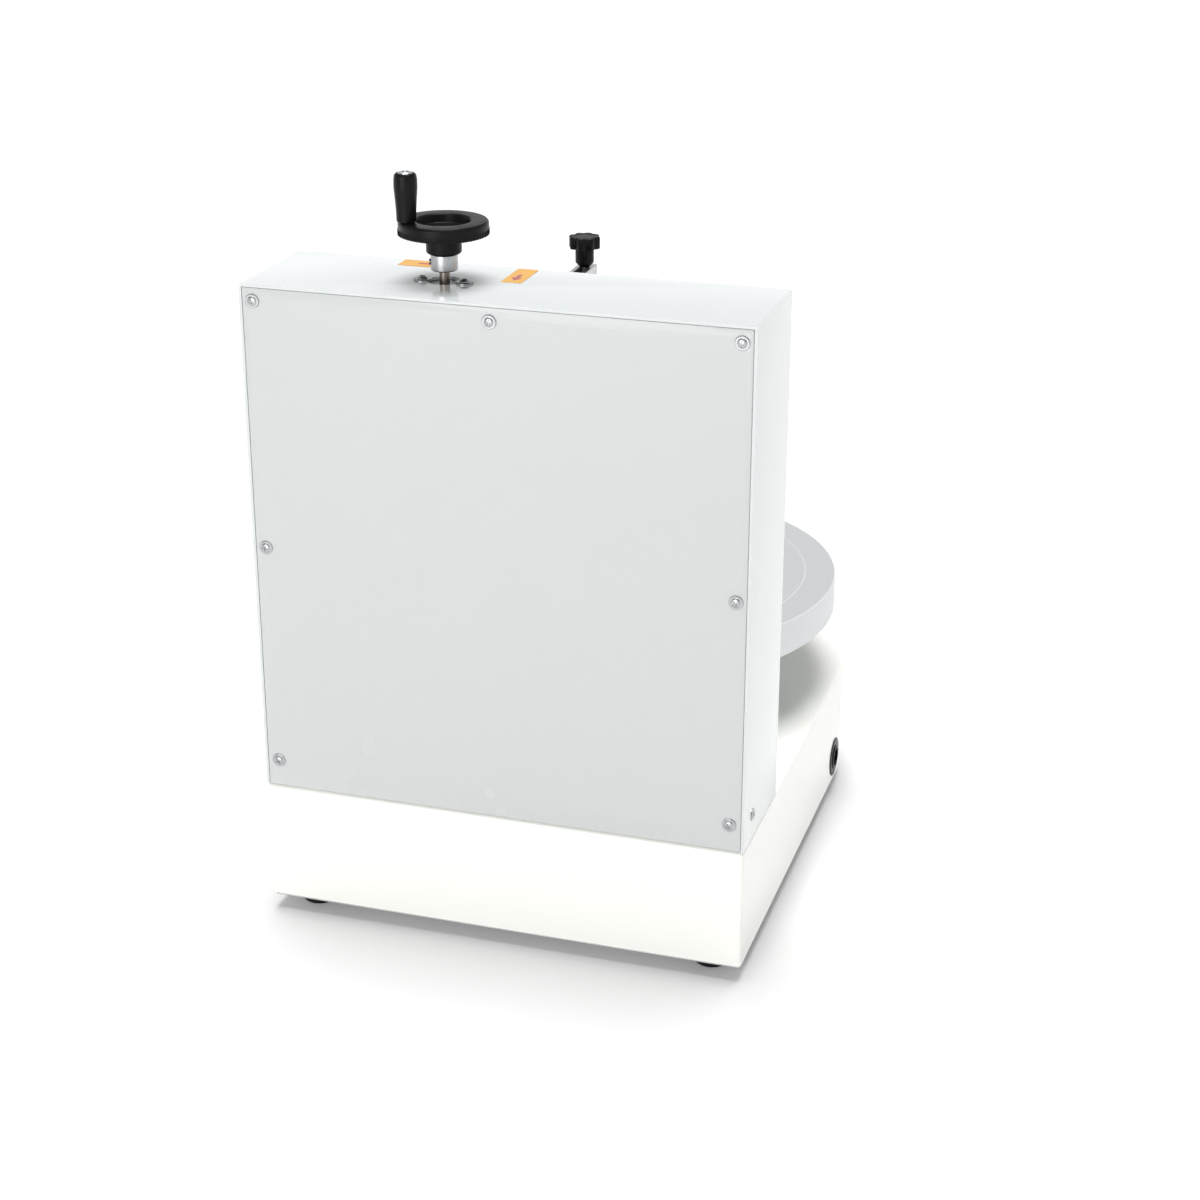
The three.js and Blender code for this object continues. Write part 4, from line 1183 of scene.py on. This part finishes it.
def makeArm():
    low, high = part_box("arm_bar")
    bar = softBox("armBar", low, high, arm["edge"], 3)
    half = arm["slotHalf"]
    outline = rounded(rectangle(-half, arm["slotFront"], half, arm["slotBack"]), 3.5, 6, True)
    at = (0, low.y + arm["slotCentre"] * mm, middle("arm_bar").z)
    carved(bar, prism("slot", outline, -30, 30, at, "Z", 0))
    finished(bar, "steelY", "lift_carriage", ["arm_bar"])


holder = {
    "halfX": 10, "halfY": 12, "start": 14, "channelHalf": 6, "channelTop": 16, "slit": 1.1, "slitTop": 8.3,
    "bore": 3.3,
}


def makeScraperHolder():
    low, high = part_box("scraper_holder")
    knobAt = middle("star_knob")
    halfX, halfY = holder["halfX"] * mm, holder["halfY"] * mm
    start = (-halfX, knobAt.y - halfY, low.z + holder["start"] * mm)
    hanger = softBox("scraperHolder", start, (halfX, knobAt.y + halfY, high.z), 0.8)
    half, top, slit, slitTop = (holder[k] for k in ("channelHalf", "channelTop", "slit", "slitTop"))
    section = rounded([
        (-half, 0), (-half, top), (half, top), (half, 0), (slit, 0, 0.2), (slit, slitTop, 0), (
            -slit, slitTop, 0,
        ),
        (-slit, 0, 0.2),
    ], 1.0, 4, True)
    channel = prism("channel", section, low.y / mm, high.y / mm, edge=0)
    remapped(channel, (0, 0, low.z), x=(1, 0, 0), y=(0, 0, 1), z=(0, 1, 0))
    welded(hanger, channel)
    carved(hanger, roundBar("hole", holder["bore"], -60, 20, (0, knobAt.y, high.z), steps=32))
    finished(hanger, "steelY", "top_scraper", ["scraper_holder"])


blade = {"half": 0.75, "frontCorner": 6, "corner": 1}


# A thin sheet with a rounded front corner
def makeTopBlade():
    low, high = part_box("top_blade")
    y0, y1, z0, z1 = low.y / mm, high.y / mm, low.z / mm, high.z / mm
    corner = blade["corner"]
    outline = [(y0, z0, blade["frontCorner"]), (y1, z0, corner), (y1, z1, corner), (y0, z1, corner)]
    sheet = prism(
        "topBlade", rounded(outline, 1, 8, True), -blade["half"], blade["half"], edge=0.3, segments=2,
    )
    remapped(sheet, (0, 0, 0), x=(0, 0, 1), y=(1, 0, 0), z=(0, 1, 0))
    finished(sheet, "steelY", "top_scraper", ["top_blade"])


makeArm()
makeScraperHolder()
makeTopBlade()
print("arm and scrapers made")


# ---- turntable

disc = {"groove": 186, "grooveHalf": 0.9, "grooveDepth": 0.7, "thickness": 8, "hub": 45, "hubLow": 2}


def makeTurntable():
    at, r, tall = turnedSize("turntable")
    groove, half, bed = disc["groove"], disc["grooveHalf"], tall - disc["grooveDepth"]
    under, hub, hubLow, wall = tall - disc["thickness"], disc["hub"], disc["hubLow"], r - disc["thickness"]
    profile = rounded([
        (0, hubLow), (hub, hubLow, 1), (hub, under, 2), (wall, under, 3), (wall, 0, 0.8), (r, 0, 1.2),
        (r, tall, 1.7), (groove + half, tall, 0), (groove + half / 2, bed, 0), (groove - half / 2, bed, 0),
        (groove - half, tall, 0), (0, tall),
    ], 0.8, 5)
    piece = spun("turntableDisc", profile, at, steps=256)
    finished(piece, "aluminium", "turntable", ["turntable"], 22)


hub = {"bore": 21.3, "mouth": 13, "flange": 56, "neck": 29, "lip": 3, "boltRing": 46, "boltSeat": 8.9}
hubBolt = dict(bearingScrew, washerRadius=4.4 * mm, headRadius=3.9 * mm, headHeight=3.4 * mm, seed=5)


def makeSpindleHousing():
    at, _, tall = turnedSize("spindle_housing")
    bore, mouth, flange, neck = (hub[k] for k in ("bore", "mouth", "flange", "neck"))
    lipLow = tall - hub["lip"]
    profile = rounded([
        (bore, 0, 0), (flange, 0, 0.4), (flange, 8, 1.5),
        (neck + 4, 9.6, 3), (neck, 18, 5), (neck, tall, 1.5),
        (mouth, tall, 0.6), (mouth, lipLow, 0), (bore, lipLow, 0),
    ], 0.5, 5, True)
    piece = spun("spindleHousing", profile, at, steps=128)
    finished(piece, "machined", "housing", ["spindle_housing"])
    ring, bolts = hub["boltRing"] * mm, []
    for k in range(4):
        angle = math.pi / 4 + k * math.pi / 2
        spot = at + Vector((ring * math.cos(angle), ring * math.sin(angle), hub["boltSeat"] * mm))
        bolts.append((spot, (0, 0, 1)))
    finished(screws("housingBolts", bolts, hubBolt, hexRecess), "chrome", "housing", (), 28)


makeTurntable()
makeSpindleHousing()
print("turntable made")


# ---- controls

fitting = {
    "proud": 2.2, "recess": 9, "body": 12.4, "flange": 19.5, "flangeProud": 0.9, "inside": -17, "steps": 72,
}


def makeFitting(name, node, axis):
    low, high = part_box(node)
    proud, recess, body, flange, rim, inside = (
        fitting[k] for k in ("proud", "recess", "body", "flange", "flangeProud", "inside")
    )
    wallX = low.x + proud * mm if axis == "-X" else high.x - proud * mm
    profile = rounded([
        (0, -5), (recess - 0.4, -5), (recess, 1.6, 0.3), (recess + 0.5, proud, 0.3), (body - 1, proud, 0.4),
        (body + 0.1, 1.1, 0.3), (body + 0.5, rim, 0.2), (flange - 0.7, rim, 0.4), (flange, 0.3, 0.2),
        (flange, 0.05, 0), (body, 0.05, 0), (body, inside), (0, inside),
    ], 0.3)
    piece = spun(name, profile, (wallX, middle(node).y, middle(node).z), axis, fitting["steps"])
    finished(piece, "black", "housing", [node])


speedKnob = {"bore": 3.3, "skirt": 16, "waist": 12.9, "top": 11.6, "height": 15.2, "pointerTurn": 225}
knobRibs = {
    "ribCount": 36, "ringRadius": 13.2 * mm, "ribRadius": 0.5 * mm, "ribLength": 9.5 * mm,
    "material": paints["black"],
}


def makeSpeedKnob():
    low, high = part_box("speed_knob")
    at = Vector((middle("speed_knob").x, high.y, middle("speed_knob").z))
    bore, skirt, top, height = (speedKnob[k] for k in ("bore", "skirt", "top", "height"))
    profile = rounded([
        (bore, 0, 0), (skirt - 1, 0, 0.3), (skirt, 0.7, 0.4), (skirt, 2.1, 0.4), (13.7, 3, 0.6),
        (speedKnob["waist"], 14, 1), (top, height, 0.7), (top - 2, height, 0.4), (
            top - 2.4, height - 0.5, 0.2,
        ),
        (0.01, height - 0.6, 0), (0.01, 10, 0), (bore, 10, 0),
    ], 0.3, 4, True)
    body = spun("speedKnob", profile, at, "-Y", 96)
    ribbed(body, "knobRibs", knobRibs, at + Vector((0, -8.6 * mm, 0)), (math.pi / 2, 0, 0))
    finished(body, "black", "speed_knob", ["speed_knob"], 30)
    angle = math.radians(speedKnob["pointerTurn"])
    pointer = softBox("knobPointer", (-0.0006, -0.0003, 0.003), (0.0006, 0.0003, 0.0088), 0.1, 2)
    spin = Matrix.Rotation(math.atan2(math.cos(angle), math.sin(angle)), 4, "Y")
    pointer.data.transform(Matrix.Translation((at.x, low.y + 0.5 * mm, at.z)) @ spin)
    finished(pointer, "orange", "speed_knob")


dial = {
    "tickCount": 31, "dialRadius": 21 * mm, "tickLength": 2.6 * mm, "tickWidth": 0.5 * mm,
    "tickHeight": 0.16 * mm, "material": paints["ink"],
}
figures = {"radius": 25.4 * mm, "size": 3.6, "firstTurn": 225, "turnEach": 27, "depth": 0.06 * mm}


def makeDial():
    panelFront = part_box("control_panel")[0].y
    at = Vector((middle("speed_knob").x, panelFront - 0.05 * mm, middle("speed_knob").z))
    g = Growth("dialTicks", dial)
    ring = g.node("GeometryNodeMeshCircle", {}, {"Vertices": 40, "Radius": g.size("dialRadius")})
    index = g.node("GeometryNodeInputIndex", {}, {})
    kept = g.node("FunctionNodeCompare", {"data_type": "INT"}, {2: index, 3: g.size("tickCount")})
    kept.node.operation = "LESS_THAN"
    place = g.node("GeometryNodeInputPosition", {}, {})
    outward = g.node("FunctionNodeAlignRotationToVector", {"axis": "X"}, {"Vector": place})
    tickSize = g.xyz(g.size("tickLength"), g.size("tickWidth"), g.size("tickHeight"))
    tick = g.node("GeometryNodeMeshCube", {}, {"Size": tickSize})
    ticks = g.node("GeometryNodeInstanceOnPoints", {}, {
        "Points": ring, "Instance": tick, "Selection": kept, "Rotation": outward,
    })
    laid = g.moved(g.moved(ticks, turn=(0, 0, math.radians(-45))), tuple(at), (math.pi / 2, 0, 0))
    piece = seats("dialTicks", [])
    g.grow(piece, laid)
    finished(piece, "ink", "housing", (), 30)
    for k in range(0, 11, 2):
        angle = math.radians(figures["firstTurn"] - figures["turnEach"] * k)
        x = at.x + figures["radius"] * math.cos(angle)
        z = at.z + figures["radius"] * math.sin(angle)
        raised("dialNumber" + str(k), str(k), x, panelFront, z)


# A printed figure on the front panel
def raised(name, text, x, y, z):
    curve = bpy.data.curves.new(name, "FONT")
    curve.body = text
    curve.size = figures["size"] * mm
    curve.align_x = "CENTER"
    curve.align_y = "CENTER"
    curve.extrude = figures["depth"]
    source = bpy.data.objects.new(name + "Source", curve)
    bpy.context.scene.collection.objects.link(source)
    bpy.context.view_layer.update()
    mesh = bpy.data.meshes.new_from_object(source.evaluated_get(bpy.context.evaluated_depsgraph_get()))
    bpy.data.objects.remove(source)
    mesh.transform(Matrix.Translation((x, y - 0.1 * mm, z)) @ Matrix.Rotation(math.pi / 2, 4, "X"))
    piece = bpy.data.objects.new(name, mesh)
    bpy.context.scene.collection.objects.link(piece)
    finished(piece, "ink", "housing")


panel = {"corner": 5, "windowPad": -2.2, "shaftHole": 4.6, "screwInset": 6}
panelScrew = dict(
    coverScrew, washerRadius=2.9 * mm, washerHeight=0.3 * mm, headRadius=2.7 * mm, headHeight=1.1 * mm,
    recessLength=2.9 * mm, recessWidth=0.6 * mm, recessDepth=1.3 * mm, seed=11,
)


def makePanel():
    low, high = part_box("control_panel")
    outline = rounded(rectangle(low.x / mm, low.z / mm, high.x / mm, high.z / mm), panel["corner"], 6, True)
    sheet = prism("controlPanel", outline, -(high.y / mm), -(low.y / mm), edge=0.35, segments=2)
    remapped(sheet, (0, 0, 0), x=(1, 0, 0), y=(0, 0, -1), z=(0, 1, 0))
    holes, pad, through = [], panel["windowPad"] * mm, 10 * mm
    for node in ("speed_display", "power_switch"):
        a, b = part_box(node)
        start, end = (a.x - pad, low.y - through, a.z - pad), (b.x + pad, high.y + through, b.z + pad)
        holes.append(softBox("hole", start, end, 0))
    shaftAt = (middle("speed_knob").x, low.y, middle("speed_knob").z)
    holes.append(roundBar("hole", panel["shaftHole"], -9, 9, shaftAt, "Y", 32))
    carved(sheet, *holes)
    finished(sheet, "panel", "housing", ["control_panel"], 30)
    inset = panel["screwInset"] * mm
    corners = [(x, z) for x in (low.x + inset, high.x - inset) for z in (low.z + inset, high.z - inset)]
    places = [((x, low.y + 0.05 * mm, z), (0, -1, 0)) for x, z in corners]
    finished(screws("panelScrews", places, panelScrew, crossRecess), "zinc", "housing", (), 28)


display = {
    "rim": 2.6, "height": 12, "width": 7, "stroke": 1.3, "pitch": 12, "lit": {"3": "abcdg", "6": "acdefg"},
}


# A box inside a node's outline: `inset` from its four sides, `front` and `back` behind its front face
def slabIn(name, node, inset, front, back, edge, segments=3):
    low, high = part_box(node)
    start = (low.x + inset * mm, low.y + front * mm, low.z + inset * mm)
    end = (high.x - inset * mm, high.y if back is None else low.y + back * mm, high.z - inset * mm)
    return softBox(name, start, end, edge, segments)


def makeDisplay():
    node, rim = "speed_display", display["rim"]
    bezel = slabIn("displayBezel", node, 0, 0, 1.7, 0.5)
    carved(bezel, slabIn("recess", node, rim, -10, 0.5, 0))
    body = slabIn("displayBody", node, rim, 1.4, None, 0.4)
    finished(gathered("speedDisplay", bezel, body), "blackFine", "housing", [node])
    finished(slabIn("displayGlass", node, rim + 0.3, 0.15, 0.5, 0.1, 2), "window", "housing", ())
    face, centre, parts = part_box(node)[0].y, middle(node), []
    w, h, s = display["width"] / 2, display["height"] / 2, display["stroke"]
    bars = {
        "a": (0, h, True), "b": (w, h / 2, False), "c": (w, -h / 2, False), "d": (0, -h, True),
        "e": (-w, -h / 2, False), "f": (-w, h / 2, False), "g": (0, 0, True),
    }
    for k, figure in enumerate("36"):
        for bar in display["lit"][figure]:
            x, z, flat = bars[bar]
            x, z = centre.x / mm + (k - 0.5) * display["pitch"] + x, centre.z / mm + z
            long = (w if flat else h / 2) - 0.4
            dx, dz = (long, s / 2) if flat else (s / 2, long)
            start = ((x - dx) * mm, face + 0.02 * mm, (z - dz) * mm)
            parts.append(softBox("bar", start, ((x + dx) * mm, face + 0.16 * mm, (z + dz) * mm), 0.05, 1))
    finished(gathered("displayDigits", *parts), "segment", "housing")


switch = {"bezel": 2.1, "rim": 2.3, "wellX": 4.5, "wellZ": 4, "wellDepth": 8}


def makeSwitch():
    low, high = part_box("power_switch")
    bezel = slabIn("switchBezel", "power_switch", 0, 0, switch["bezel"], 0.7)
    welded(bezel, slabIn("switchBody", "power_switch", switch["rim"], 1.9, None, 0.5))
    wellX, wellZ, depth = switch["wellX"] * mm, switch["wellZ"] * mm, switch["wellDepth"] * mm
    start = (low.x + wellX, low.y - 10 * mm, low.z + wellZ)
    carved(bezel, softBox("well", start, (high.x - wellX, low.y + depth, high.z - wellZ), 0))
    finished(bezel, "black", "housing", ["power_switch"])


makeFitting("powerInlet", "power_inlet", "-X")
makeFitting("pedalSocket", "pedal_socket", "X")
makeSpeedKnob()
makeDial()
makePanel()
makeDisplay()
makeSwitch()
print("controls made")


# ---- CAD pieces that keep their own shape

keptPieces = {
    "steelX": ["upper_rod_plate", "lower_rod_plate"],
    "steelY": ["side_arm"],
    "steelZ": ["guide_rod_left", "guide_rod_right", "side_bracket", "side_blade", "spindle"],
    "zinc": ["upper_bearing", "lower_bearing", "speed_control"],
    "chrome": ["spindle_bearing_upper", "spindle_bearing_lower"],
    "machined": ["lift_carriage", "table_pulley", "motor_pulley"],
    "brass": ["lift_nut", "rod_bush_left", "rod_bush_right"],
    "rubber": ["drive_belt"],
    "oiled": ["gear_motor"],
    "sheet": ["power_supply"],
    "board": ["speed_board"],
    "blackFine": ["power_rocker"],
}
for paint, nodes in keptPieces.items():
    for node in nodes:
        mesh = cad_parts[node].data
        mesh.materials.clear()
        mesh.materials.append(paints[paint])
